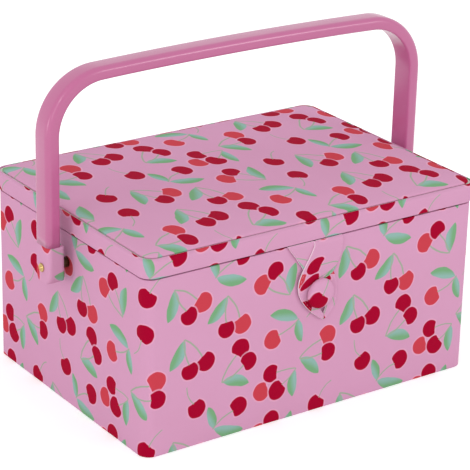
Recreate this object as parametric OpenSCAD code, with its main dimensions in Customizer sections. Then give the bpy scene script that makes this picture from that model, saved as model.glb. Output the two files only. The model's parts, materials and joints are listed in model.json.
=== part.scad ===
// Fabric-covered sewing box: a board box with a padded hinged lid, a moulded
// handle on pivot pins, two lift-out trays and a loop-and-button closure.
// Millimetres. X runs along the front, Y from front to back and Z up.
// The origin is the middle of the underside.

/* [Box] */
// Width of the box over its cover
box_w = 260; // [220:1:320]
// Depth of the box over its cover, front to back
box_d = 188.5; // [150:0.5:240]
// Height of the box, from the table to its rim
box_h = 121.4; // [105:0.2:160]
// Radius of the box's upright corners, over the cover
corner_r = 8; // [6:0.5:12]
// Thickness of the wall boards
board_t = 3; // [2:0.25:4]
// Thickness of the base board
base_t = 3; // [2:0.25:5]
// Thickness of the printed cover cloth
cover_t = 0.7; // [0.4:0.1:0.9]
// Width of the hem that the cover turns under the base
hem_w = 14; // [8:1:25]
// Depth of the hem that the cover turns in behind the lining
hem_drop = 16; // [10:1:25]

/* [Lining] */
// Thickness of a satin-covered lining card
lining_t = 2; // [1.6:0.1:3]
// Drop from the rim to the ledge that the trays rest on
ledge_drop = 5; // [4:0.25:8]

/* [Lid] */
// Height of the lid's side band
lid_h = 13.5; // [12.5:0.25:20]
// How far the lid stands out past the box all round
lid_overhang = 0.7; // [0.2:0.1:1.5]
// Gap between the box's rim and the lid
lid_gap = 0.3; // [0.2:0.05:0.6]
// Thickness of the lid's rails
rail_t = 2.5; // [2:0.25:3.5]
// Thickness of the lid's top board
lid_board_t = 2.2; // [1.6:0.1:3]
// Height that the band stands above the top board
seam_up = 0.8; // [0.4:0.1:1.5]
// Thickness of the foam over the top board
pad_t = 2.6; // [1.5:0.1:5]
// Width of the rounded edge of the padded top
pad_roll = 5; // [3:0.5:9]

/* [Hinge] */
// Thickness of the printed tape across the back
tape_t = 0.6; // [0.3:0.1:1]
// Depth of the tape on the back of the box
tape_drop = 14; // [8:1:25]
// Thickness of the satin strip inside the hinge
strip_t = 0.4; // [0.2:0.1:0.6]

/* [Handle] */
// Drop from the rim to the pivots
pivot_drop = 20.4; // [17:0.2:30]
// Height of the grip's centre line above the pivots
handle_rise = 125.2; // [108:0.2:150]
// Gap between the lid's side and the handle's leg
handle_gap = 9.5; // [7.5:0.1:12]
// Radius of the handle's bends, at its centre line
bend_r = 38; // [25:1:50]
// Width of the moulded bar, front to back
bar_w = 16.4; // [14:0.2:22]
// Thickness of the moulded bar
bar_t = 8.6; // [7.5:0.1:12]
// Wall of the moulded bar, round the socket in each end
bar_wall = 2; // [1.5:0.1:2.5]
// Rounding of the bar's outer edges
bar_round = 3.6; // [2:0.1:3.7]
// Rounding of the bar's inner edges
bar_inner_round = 1.6; // [1:0.1:2.5]
// Height of the bar's ends above the pivots
leg_end_up = 15.2; // [10:0.2:20]

/* [Handle tabs] */
// Width of a covered tab, front to back
tab_w = 17.4; // [15:0.2:22]
// Thickness of a covered tab
tab_t = 10.2; // [9:0.1:12]
// Length of a tab below its pivot
tab_drop = 10.6; // [8:0.2:14]
// Rounding of a tab's lower corners
tab_round = 5; // [3:0.5:7]
// Rounding of a tab's outer upright edges
tab_edge = 3; // [2:0.1:4]
// Length of the tongue that goes up into the bar's end
tongue_h = 24; // [14:1:35]
// Radius of a pivot pin
pin_r = 1.6; // [1.2:0.1:2.2]
// Radius of a pin's domed head
pin_head_r = 3; // [2.6:0.1:4.5]
// Height of a pin's domed head
pin_head_h = 1.5; // [1:0.1:2.5]
// Radius of the spacer on a pin, between the box and the tab
spacer_r = 5; // [3.5:0.25:7]
// Radius of a washer behind a board
washer_r = 5; // [3.5:0.25:7]
// Thickness of a washer behind a board
washer_t = 0.8; // [0.5:0.1:1.2]

/* [Closure] */
// Radius of the covered button's cap
button_r = 10.3; // [8:0.1:13]
// Thickness of the cap's edge
button_edge = 2; // [1.2:0.1:3]
// Height of the cap's dome above its edge
button_dome = 3.5; // [2:0.1:5]
// Radius of the button's shank
shank_r = 1.5; // [1:0.1:2.2]
// Drop from the rim to the button's centre
button_drop = 35.7; // [30:0.1:45]
// Thickness of the folded loop band
loop_t = 2.2; // [1.4:0.1:3]
// Width of the loop where it leaves the lid
loop_top_w = 43; // [34:0.5:60]
// Shift of the loop's top to the left of the button
loop_shift = 3.5; // [0:0.1:6]
// Width of the band round the button
loop_band_w = 4.3; // [3:0.1:7]
// Length of the loop's point below the button's centre
loop_point = 20.6; // [18.5:0.1:27]
// Shift of the loop's point to the right of the button
point_shift = 4.6; // [0:0.1:7]

/* [Trays] */
// Height of a tray, with its flange
tray_h = 34; // [25:0.5:42]
// Thickness of a tray's walls and dividers
tray_t = 1.5; // [1.2:0.1:2.5]
// Thickness of a tray's flange
flange_t = 1.6; // [1.2:0.1:2.5]
// Width of the flange where the two trays meet
mid_flange = 2; // [1:0.1:4]
// Radius of a compartment's upright corners
cell_r = 4; // [1.5:0.5:8]

/* [Lid fittings] */
// Width of the lid pocket
pocket_w = 142; // [90:1:170]
// Depth of the lid pocket, from the hinge side to its mouth
pocket_d = 82; // [50:1:100]
// How far the pocket stands off the lid's lining
pocket_t = 3.2; // [2.2:0.1:3.6]
// Thickness of the pocket's cloth
pocket_cloth = 0.6; // [0.4:0.1:0.8]
// Width of the elastic binding on the pocket's mouth
elastic_w = 7; // [5:0.5:10]
// Thickness of the elastic binding
elastic_t = 1.4; // [0.8:0.1:2]
// Width of the pincushion
cushion_w = 62; // [40:1:75]
// Depth of the pincushion, front to back
cushion_d = 48; // [35:1:60]
// Height of the pincushion off the lid's lining
cushion_h = 7; // [5:0.25:7.5]

/* [Hidden] */
// Roundness of drawn circles
$fn = 64;

// Clearances
lining_play = 0.1;
seat_gap = 0.3;
tray_play = 0.9;
flange_play = 0.4;
between_trays = 0.6;
run_fit = 0.08;
bore_play = 0.05;
head_play = 0.15;
tongue_play = 0.15;
button_play = 0.4;
eye_gap = 1.3;
loop_gap = 0.3;
card_play = 0.5;
cut = 1;

// Box shell
board_w = box_w - 2 * cover_t;
board_d = box_d - 2 * cover_t;
board_r = corner_r - cover_t;
wall_z0 = cover_t;
wall_z1 = box_h - cover_t;
in_x = board_w / 2 - board_t;
in_y = board_d / 2 - board_t;
base_z1 = cover_t + base_t;

// Lining
lining_out_x = in_x - cover_t - lining_play;
lining_out_y = in_y - cover_t - lining_play;
lining_in_x = lining_out_x - lining_t;
lining_in_y = lining_out_y - lining_t;
ledge_z = box_h - ledge_drop;
floor_z = base_z1 + lining_t;

// Lid
lid_z0 = box_h + lid_gap;
lid_z1 = lid_z0 + lid_h;
lid_w = box_w + 2 * lid_overhang;
lid_d = box_d + 2 * lid_overhang;
lid_r = corner_r + lid_overhang;
rail_out_x = lid_w / 2 - cover_t;
rail_out_y = lid_d / 2 - cover_t;
rail_in_x = rail_out_x - rail_t;
rail_in_y = rail_out_y - rail_t;
lid_board_z1 = lid_z1 - seam_up;
lid_board_z0 = lid_board_z1 - lid_board_t;
lid_card_z0 = lid_board_z0 - lining_t;

// Hinge
hinge_x = box_w / 2 - corner_r - 1;
lid_tape_h = lid_h - 1;

// Handle
pivot_z = box_h - pivot_drop;
half_span = lid_w / 2 + handle_gap + bar_t / 2;
grip_z = pivot_z + handle_rise;
leg_end_z = pivot_z + leg_end_up;
bend_x = half_span - bend_r;
bend_z = grip_z - bend_r;
tab_out = half_span + bar_t / 2 - 0.3;
tab_in = tab_out - tab_t;
tab_z0 = pivot_z - tab_drop;

// Closure
button_z = box_h - button_drop;
loop_back = box_d / 2 + loop_gap;
cap_back = loop_back + loop_t + button_play;
eye_r = button_r + eye_gap;
ring_r = eye_r + loop_band_w;
loop_end_r = loop_t / 2;
loop_axis_y = -(loop_back + loop_end_r);
loop_axis_z = box_h - loop_end_r - 0.1;

// Trays
tray_z0 = ledge_z + seat_gap + flange_t - tray_h;
tray_z1 = tray_z0 + tray_h;
tray_wall_x = lining_in_x - tray_play;
tray_wall_y = lining_in_y - tray_play;
flange_x = in_x - cover_t - flange_play;
flange_y = in_y - cover_t - strip_t - flange_play;
tray_mid_x = between_trays / 2 + mid_flange;
// Compartments in each row of a tray, from the front row to the back row
left_rows = [1, 2, 3];
right_rows = [2, 3, 2];

// Lid fittings
pocket_x = -(rail_in_x - 12 - pocket_w / 2);
pocket_y1 = rail_in_y - 16;
cushion_x = rail_in_x - 16 - cushion_w / 2;
cushion_y = pocket_y1 - 10 - cushion_d / 2;

// Colours
print_pink = "#D9A2C2";
card_grey = "#A9A299";
satin_white = "#EFE4E6";
bar_pink = "#C8749C";
tray_white = "#EDE6E8";
brass_gold = "#C9A24E";
steel_grey = "#B4B6B8";
foam_white = "#EFEDE6";

// ---------- Shared shapes ----------

// Rectangle with round corners, centred on the origin
module round_rect(w, d, r) {
    square([w - 2 * r, d], center = true);
    square([w, d - 2 * r], center = true);
    for (sx = [-1, 1], sy = [-1, 1])
        translate([sx * (w / 2 - r), sy * (d / 2 - r)])
            circle(r);
}

// Upright block with round corners, from height z0 to z1
module slab(w, d, r, z0, z1) {
    translate([0, 0, z0])
        linear_extrude(z1 - z0)
            round_rect(w, d, r);
}

// Block between two corners
module block(low, high) {
    translate(low)
        cube(high - low);
}

// Cylinder along X that ends at x0 and x1
module rod_x(r, x0, x1, z) {
    translate([x0, 0, z])
        rotate([0, 90, 0])
            cylinder(h = x1 - x0, r = r);
}

// Cylinder along Y that ends at y0 and y1
module rod_y(r, y0, y1, z) {
    translate([0, y1, z])
        rotate([90, 0, 0])
            cylinder(h = y1 - y0, r = r);
}

// The children and their mirror image on the other side
module both_sides() {
    children();
    mirror([1, 0, 0])
        children();
}

// Bore for a pivot pin through the right-hand side of the box
module pin_bore() {
    rod_x(pin_r + bore_play, in_x - cut, box_w / 2 + cut, pivot_z);
}

// Bore for the button's shank through the front of the box
module shank_bore() {
    rod_y(shank_r + bore_play, -box_d / 2 - cut, cut - in_y, button_z);
}

// ---------- Box ----------

module wall_block() {
    slab(board_w, board_d, board_r, wall_z0, wall_z1);
}

module end_board() {
    intersection() {
        wall_block();
        block([-board_w / 2, in_y, 0], [board_w / 2, board_d / 2, box_h]);
    }
}

module side_board() {
    difference() {
        intersection() {
            wall_block();
            block([in_x, -in_y, 0], [board_w / 2, in_y, box_h]);
        }
        pin_bore();
        rod_x(washer_r + bore_play, in_x - cut, in_x + washer_t, pivot_z);
    }
}

module front_board() {
    color(card_grey)
        difference() {
            mirror([0, 1, 0])
                end_board();
            shank_bore();
            rod_y(washer_r + bore_play, -in_y - washer_t, cut - in_y, button_z);
        }
}

module rear_board() {
    color(card_grey)
        end_board();
}

module left_board() {
    color(card_grey)
        mirror([1, 0, 0])
            side_board();
}

module right_board() {
    color(card_grey)
        side_board();
}

module base_board() {
    color(card_grey)
        block([-in_x, -in_y, cover_t], [in_x, in_y, base_z1]);
}

// Hem of the cover on the inner faces of the wall boards
module inner_hem() {
    difference() {
        block([-in_x, -in_y, box_h - hem_drop], [in_x, in_y, box_h]);
        block([cover_t - in_x, cover_t - in_y, 0], [in_x - cover_t, in_y - cover_t, box_h + cut]);
    }
}

module box_cover() {
    color(print_pink)
        difference() {
            slab(box_w, box_d, corner_r, 0, box_h);
            difference() {
                wall_block();
                inner_hem();
            }
            block([cover_t - in_x, cover_t - in_y, wall_z0 + cut], [in_x - cover_t, in_y - cover_t, box_h + cut]);
            block([hem_w - box_w / 2, hem_w - box_d / 2, -cut], [box_w / 2 - hem_w, box_d / 2 - hem_w, base_z1]);
            both_sides()
                pin_bore();
            shank_bore();
        }
}

module base_cover() {
    color(card_grey)
        block([hem_w - box_w / 2, hem_w - box_d / 2, 0], [box_w / 2 - hem_w, box_d / 2 - hem_w, cover_t]);
}

// ---------- Lining ----------

module end_lining() {
    block([-lining_out_x, lining_in_y, floor_z], [lining_out_x, lining_out_y, ledge_z]);
}

module side_lining() {
    block([lining_in_x, -lining_in_y, floor_z], [lining_out_x, lining_in_y, ledge_z]);
}

module front_lining() {
    color(satin_white)
        mirror([0, 1, 0])
            end_lining();
}

module rear_lining() {
    color(satin_white)
        end_lining();
}

module left_lining() {
    color(satin_white)
        mirror([1, 0, 0])
            side_lining();
}

module right_lining() {
    color(satin_white)
        side_lining();
}

module base_lining() {
    color(satin_white)
        block([-lining_out_x, -lining_out_y, base_z1], [lining_out_x, lining_out_y, floor_z]);
}

// ---------- Hinge ----------

module hinge_tape_box() {
    color(print_pink)
        block([-hinge_x, box_d / 2, box_h - tape_drop], [hinge_x, box_d / 2 + tape_t, box_h]);
}

module hinge_strip_box() {
    color(satin_white)
        block([-hinge_x, in_y - cover_t - strip_t, ledge_z + lining_play], [hinge_x, in_y - cover_t, box_h]);
}

module hinge_tape_lid() {
    color(print_pink)
        block([-hinge_x, lid_d / 2, lid_z0], [hinge_x, lid_d / 2 + tape_t, lid_z0 + lid_tape_h]);
}

module hinge_strip_lid() {
    color(satin_white)
        block([-hinge_x, rail_in_y - strip_t, lid_z0 + cover_t], [hinge_x, rail_in_y, lid_card_z0]);
}

// ---------- Pivots ----------

// Domed head on a flat face at x0
module pin_head(x0) {
    dome_r = (pin_head_r * pin_head_r + pin_head_h * pin_head_h) / (2 * pin_head_h);
    translate([x0, 0, pivot_z])
        rotate([0, 90, 0])
            rotate_extrude()
                intersection() {
                    translate([0, pin_head_h - dome_r])
                        circle(dome_r);
                    square([pin_head_r, pin_head_h]);
                }
}

module pivot_pins() {
    color(brass_gold)
        both_sides() {
            rod_x(pin_r, in_x, tab_out + head_play, pivot_z);
            pin_head(tab_out + head_play);
        }
}

module pin_spacers() {
    color(brass_gold)
        both_sides()
            difference() {
                rod_x(spacer_r, box_w / 2, tab_in - head_play, pivot_z);
                rod_x(pin_r + run_fit, 0, tab_out, pivot_z);
            }
}

module pin_washers() {
    color(steel_grey)
        both_sides()
            difference() {
                rod_x(washer_r, in_x, in_x + washer_t, pivot_z);
                rod_x(pin_r + run_fit, 0, box_w, pivot_z);
            }
}

// ---------- Button ----------

module button_cap() {
    dome_r = (button_r * button_r + button_dome * button_dome) / (2 * button_dome);
    color(print_pink)
        translate([0, -cap_back, button_z])
            rotate([90, 0, 0])
                rotate_extrude()
                    union() {
                        square([button_r, button_edge]);
                        intersection() {
                            translate([0, button_edge + button_dome - dome_r])
                                circle(dome_r);
                            translate([0, button_edge])
                                square([button_r, button_dome]);
                        }
                    }
}

module button_shank() {
    color(steel_grey)
        rod_y(shank_r, -cap_back, -in_y, button_z);
}

module button_washer() {
    color(steel_grey)
        difference() {
            rod_y(washer_r, -in_y - washer_t, -in_y, button_z);
            rod_y(shank_r + run_fit, -box_d, 0, button_z);
        }
}

// ---------- Lid ----------

module rail_block() {
    slab(2 * rail_out_x, 2 * rail_out_y, lid_r - cover_t, lid_z0 + cover_t, lid_board_z0);
}

module end_rail() {
    intersection() {
        rail_block();
        block([-lid_w, rail_in_y, 0], [lid_w, lid_d, lid_z1]);
    }
}

module side_rail() {
    intersection() {
        rail_block();
        block([rail_in_x, -rail_in_y, 0], [lid_w, rail_in_y, lid_z1]);
    }
}

module lid_board() {
    color(card_grey)
        slab(2 * rail_out_x, 2 * rail_out_y, lid_r - cover_t, lid_board_z0, lid_board_z1);
}

module lid_front_rail() {
    color(card_grey)
        mirror([0, 1, 0])
            end_rail();
}

module lid_rear_rail() {
    color(card_grey)
        end_rail();
}

module lid_left_rail() {
    color(card_grey)
        mirror([1, 0, 0])
            side_rail();
}

module lid_right_rail() {
    color(card_grey)
        side_rail();
}

module lid_band_cover() {
    color(print_pink)
        difference() {
            slab(lid_w, lid_d, lid_r, lid_z0, lid_z1);
            slab(2 * rail_out_x, 2 * rail_out_y, lid_r - cover_t, lid_z0 + cover_t, lid_z1 + cut);
            block([-rail_in_x, -rail_in_y, lid_z0 - cut], [rail_in_x, rail_in_y, lid_z1]);
        }
}

// Pillow on the top board: its sides roll in towards a flat top
module pillow(inset, height) {
    w = 2 * rail_out_x - 2 * inset;
    d = 2 * rail_out_y - 2 * inset;
    r = lid_r - cover_t - inset;
    hull() {
        slab(w, d, r, lid_board_z1, lid_board_z1 + height * 0.35, $fn = 32);
        slab(w - pad_roll, d - pad_roll, r, lid_board_z1, lid_board_z1 + height * 0.8, $fn = 32);
        slab(w - 2 * pad_roll, d - 2 * pad_roll, r, lid_board_z1, lid_board_z1 + height, $fn = 32);
    }
}

module lid_padding() {
    color(foam_white)
        pillow(cover_t, pad_t);
}

module lid_top_cover() {
    color(print_pink)
        difference() {
            pillow(0, pad_t + cover_t);
            pillow(cover_t, pad_t);
        }
}

module lid_lining() {
    x = rail_in_x - card_play;
    y = rail_in_y - card_play;
    color(satin_white)
        block([-x, -y, lid_card_z0], [x, y, lid_board_z0]);
}

// ---------- Lid fittings ----------

module lid_pocket() {
    x0 = pocket_x - pocket_w / 2;
    x1 = pocket_x + pocket_w / 2;
    y0 = pocket_y1 - pocket_d;
    z0 = lid_card_z0 - pocket_t;
    color(satin_white)
        difference() {
            block([x0, y0, z0], [x1, pocket_y1, lid_card_z0]);
            block(
                [x0 + pocket_cloth, y0 - cut, z0 + pocket_cloth],
                [x1 - pocket_cloth, pocket_y1 - pocket_cloth, lid_card_z0 + cut]
            );
        }
}

module pocket_elastic() {
    x = pocket_w / 2;
    y0 = pocket_y1 - pocket_d;
    z1 = lid_card_z0 - pocket_t;
    color(bar_pink)
        block([pocket_x - x, y0, z1 - elastic_t], [pocket_x + x, y0 + elastic_w, z1]);
}

module pincushion() {
    color(bar_pink)
        translate([cushion_x, cushion_y, 0])
            slab(cushion_w, cushion_d, cushion_h, lid_card_z0 - cushion_h, lid_card_z0);
}

// ---------- Closure loop ----------

// Outline of the loop, seen from the front, with the button's centre as origin
module loop_outline() {
    top = loop_axis_z - button_z;
    difference() {
        union() {
            circle(ring_r);
            polygon([
                [-loop_top_w / 2 - loop_shift, top],
                [loop_top_w / 2 - loop_shift, top],
                [ring_r * cos(20), ring_r * sin(20)],
                [-ring_r * cos(20), ring_r * sin(20)]
            ]);
            polygon([
                [point_shift, -loop_point],
                [ring_r * cos(25), -ring_r * sin(25)],
                [-ring_r * cos(50), -ring_r * sin(50)]
            ]);
        }
        circle(eye_r);
    }
}

module closure_loop() {
    color(print_pink)
        union() {
            translate([0, -loop_back, button_z])
                rotate([90, 0, 0])
                    linear_extrude(loop_t)
                        loop_outline();
            translate([-loop_top_w / 2 - loop_shift, loop_axis_y, loop_axis_z])
                rotate([0, 90, 0])
                    cylinder(h = loop_top_w, r = loop_end_r);
        }
}

// ---------- Handle ----------

// Section of the bar: X points away from the grip's hollow, Y across the bar
module bar_section() {
    hull()
        for (s = [-1, 1]) {
            translate([bar_t / 2 - bar_round, s * (bar_w / 2 - bar_round)])
                circle(bar_round);
            translate([bar_inner_round - bar_t / 2, s * (bar_w / 2 - bar_inner_round)])
                circle(bar_inner_round);
        }
}

// Block in the bar's end, inset from its wall: the tongue, or the socket that it fills
module bar_core(inset, z0, z1) {
    x = bar_t / 2 - bar_wall - inset;
    y = bar_w / 2 - bar_wall - inset;
    block([half_span - x, -y, z0], [half_span + x, y, z1]);
}

module handle_bar() {
    color(bar_pink)
        union() {
            translate([-bend_x, 0, grip_z])
                rotate([0, 90, 0])
                    rotate([0, 0, 180])
                        linear_extrude(2 * bend_x)
                            bar_section();
            both_sides() {
                translate([bend_x, 0, bend_z])
                    rotate([90, 0, 0])
                        rotate_extrude(angle = 90)
                            translate([bend_r, 0])
                                bar_section();
                difference() {
                    translate([half_span, 0, leg_end_z])
                        linear_extrude(bend_z - leg_end_z)
                            bar_section();
                    bar_core(0, leg_end_z - cut, leg_end_z + tongue_h + tongue_play);
                }
            }
        }
}

module tab() {
    difference() {
        union() {
            intersection() {
                translate([0, 0, tab_z0])
                    linear_extrude(leg_end_z - tab_z0)
                        union() {
                            translate([tab_in, -tab_w / 2])
                                square([tab_t - tab_edge, tab_w]);
                            translate([tab_in, tab_edge - tab_w / 2])
                                square([tab_t, tab_w - 2 * tab_edge]);
                            for (s = [-1, 1])
                                translate([tab_out - tab_edge, s * (tab_w / 2 - tab_edge)])
                                    circle(tab_edge);
                        }
                union() {
                    block([0, -tab_w, tab_z0 + tab_round], [2 * tab_out, tab_w, leg_end_z]);
                    block([0, tab_round - tab_w / 2, tab_z0], [2 * tab_out, tab_w / 2 - tab_round, leg_end_z]);
                    for (s = [-1, 1])
                        translate([0, s * (tab_w / 2 - tab_round), 0])
                            rod_x(tab_round, 0, 2 * tab_out, tab_z0 + tab_round);
                }
            }
            bar_core(tongue_play, leg_end_z, leg_end_z + tongue_h);
        }
        rod_x(pin_r + run_fit, 0, 2 * tab_out, pivot_z);
    }
}

module left_handle_tab() {
    color(print_pink)
        mirror([1, 0, 0])
            tab();
}

module right_handle_tab() {
    color(print_pink)
        tab();
}

// ---------- Trays ----------

// Tray on the right-hand side, with a list of how many compartments each row has
module tray(rows) {
    w = tray_wall_x - tray_mid_x;
    d = 2 * tray_wall_y;
    row_d = (d - tray_t) / len(rows) - tray_t;
    difference() {
        union() {
            translate([tray_mid_x + w / 2, 0, 0])
                slab(w, d, cell_r + tray_t, tray_z0, tray_z1);
            block([between_trays / 2, -flange_y, tray_z1 - flange_t], [flange_x, flange_y, tray_z1]);
        }
        for (j = [0 : len(rows) - 1]) {
            cell_w = (w - tray_t) / rows[j] - tray_t;
            y = (row_d + tray_t) * (j + 0.5) + tray_t / 2 - d / 2;
            for (i = [0 : rows[j] - 1])
                translate([tray_mid_x + (cell_w + tray_t) * (i + 0.5) + tray_t / 2, y, 0])
                    slab(cell_w, row_d, cell_r, tray_z0 + tray_t, tray_z1 + cut);
        }
    }
}

module left_tray() {
    color(tray_white)
        mirror([1, 0, 0])
            tray(left_rows);
}

module right_tray() {
    color(tray_white)
        tray(right_rows);
}

// ---------- Nodes ----------

front_board();
rear_board();
left_board();
right_board();
base_board();
box_cover();
base_cover();
front_lining();
rear_lining();
left_lining();
right_lining();
base_lining();
hinge_tape_box();
hinge_strip_box();
pivot_pins();
pin_spacers();
pin_washers();
button_cap();
button_shank();
button_washer();
lid_board();
lid_front_rail();
lid_rear_rail();
lid_left_rail();
lid_right_rail();
lid_band_cover();
lid_padding();
lid_top_cover();
lid_lining();
lid_pocket();
pocket_elastic();
pincushion();
hinge_tape_lid();
hinge_strip_lid();
closure_loop();
handle_bar();
left_handle_tab();
right_handle_tab();
left_tray();
right_tray();
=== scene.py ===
"""Looks of a cloth-covered sewing box with trays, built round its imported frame.

Lengths are in metres unless a name or comment says millimetres. Sizes and places come from the frame's own
boxes, or from the fields of the class that makes the piece. X runs along the front, Y from front to back and
Z up.
"""

import json
import logging
import math
import random
from collections.abc import Callable, Sequence
from dataclasses import dataclass
from enum import Enum

import bmesh
import bpy
import numpy as np
from mathutils import Matrix, Vector, noise

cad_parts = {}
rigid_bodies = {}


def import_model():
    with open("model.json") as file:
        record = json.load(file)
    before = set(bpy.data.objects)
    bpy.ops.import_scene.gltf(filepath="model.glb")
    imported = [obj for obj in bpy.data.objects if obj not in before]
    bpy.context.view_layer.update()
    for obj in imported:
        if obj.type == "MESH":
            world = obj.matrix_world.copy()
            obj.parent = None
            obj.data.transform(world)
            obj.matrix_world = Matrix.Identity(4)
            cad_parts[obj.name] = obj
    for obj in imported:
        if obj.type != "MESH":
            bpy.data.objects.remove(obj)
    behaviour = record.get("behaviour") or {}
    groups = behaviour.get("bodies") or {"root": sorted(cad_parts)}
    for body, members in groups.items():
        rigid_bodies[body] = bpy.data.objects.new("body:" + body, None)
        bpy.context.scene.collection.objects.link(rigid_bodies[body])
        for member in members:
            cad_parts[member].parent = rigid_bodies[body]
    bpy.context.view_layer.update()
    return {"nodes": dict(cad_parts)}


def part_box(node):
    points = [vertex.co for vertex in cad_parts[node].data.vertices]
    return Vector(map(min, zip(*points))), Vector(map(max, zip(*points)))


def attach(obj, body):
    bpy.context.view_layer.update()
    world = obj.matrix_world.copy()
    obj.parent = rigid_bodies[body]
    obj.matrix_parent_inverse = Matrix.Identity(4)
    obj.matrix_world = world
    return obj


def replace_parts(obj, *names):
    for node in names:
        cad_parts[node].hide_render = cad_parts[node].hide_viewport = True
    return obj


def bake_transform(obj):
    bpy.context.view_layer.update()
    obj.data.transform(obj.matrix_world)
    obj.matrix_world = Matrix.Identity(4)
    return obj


for spare in list(bpy.data.objects):
    bpy.data.objects.remove(spare)
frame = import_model()

MM = 0.001
CLOTH_MAP = "cloth"
STRIDE = 8 * MM
LOG = logging.getLogger("sewing_box")

Colour = tuple[float, float, float, float]
Spot = tuple[float, float]
Path = list[Vector]
Tree = bpy.types.NodeTree
Node = bpy.types.Node
Socket = bpy.types.NodeSocket
Piece = bpy.types.Object
Curve = Callable[[float], float]
Placed = tuple[Sequence[float], Spot]
Grid = Callable[[int, int], Placed]


# ---------- Nodes ----------


def linear(code: str) -> Colour:
    """Turns an sRGB hex colour into a linear one.

    Args:
        code: The colour as #rrggbb.

    Returns:
        Red, green, blue and an alpha of 1, as a shader takes them.
    """
    channels = [int(code[i : i + 2], 16) / 255 for i in (1, 3, 5)]
    red, green, blue = (c / 12.92 if c <= 0.04045 else ((c + 0.055) / 1.055) ** 2.4 for c in channels)
    return red, green, blue, 1.0


def feed(tree: Tree, node: Node, inputs: dict) -> Node:
    """Gives a node its inputs.

    Args:
        tree: The tree that holds the node.
        node: The node.
        inputs: Input name or number to a plain value, an output socket, or a node whose first output in use
            feeds it.

    Returns:
        The same node.
    """
    for key, value in inputs.items():
        if isinstance(value, Node):
            value = next(output for output in value.outputs if output.enabled)
        if isinstance(value, Socket):
            tree.links.new(value, node.inputs[key])
        else:
            node.inputs[key].default_value = value
    return node


def add(tree: Tree, kind: str, inputs: dict | None = None, **settings: object) -> Node:
    """Adds a node with its settings and inputs.

    Args:
        tree: The node tree that gets the node.
        kind: Blender's name for the kind of node.
        inputs: Its inputs, as feed takes them.
        **settings: Properties of the node itself, such as operation.

    Returns:
        The new node.
    """
    node = tree.nodes.new(kind)
    for name, value in settings.items():
        setattr(node, name, value)
    return feed(tree, node, inputs or {})


def new_group(name: str, inputs: dict[str, str]) -> tuple[Tree, dict[str, Socket]]:
    """Starts a node group that passes a cloth colour on.

    Args:
        name: Name of the group.
        inputs: Input name to Vector, Float or Color.

    Returns:
        The group's tree, and its inputs by name as sockets to link from.
    """
    tree = bpy.data.node_groups.new(name, "ShaderNodeTree")
    for label, kind in inputs.items():
        tree.interface.new_socket(name=label, in_out="INPUT", socket_type=f"NodeSocket{kind}")
    tree.interface.new_socket(name="Cloth", in_out="OUTPUT", socket_type="NodeSocketColor")
    start = add(tree, "NodeGroupInput")
    return tree, {label: start.outputs[label] for label in inputs}


# ---------- Printed cloth ----------


class Motif(Enum):
    """The kinds of motif in the print's repeat."""

    PAIR = "pair"
    TRIO = "trio"
    SINGLE = "single"
    LEAFED = "leafed"


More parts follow.
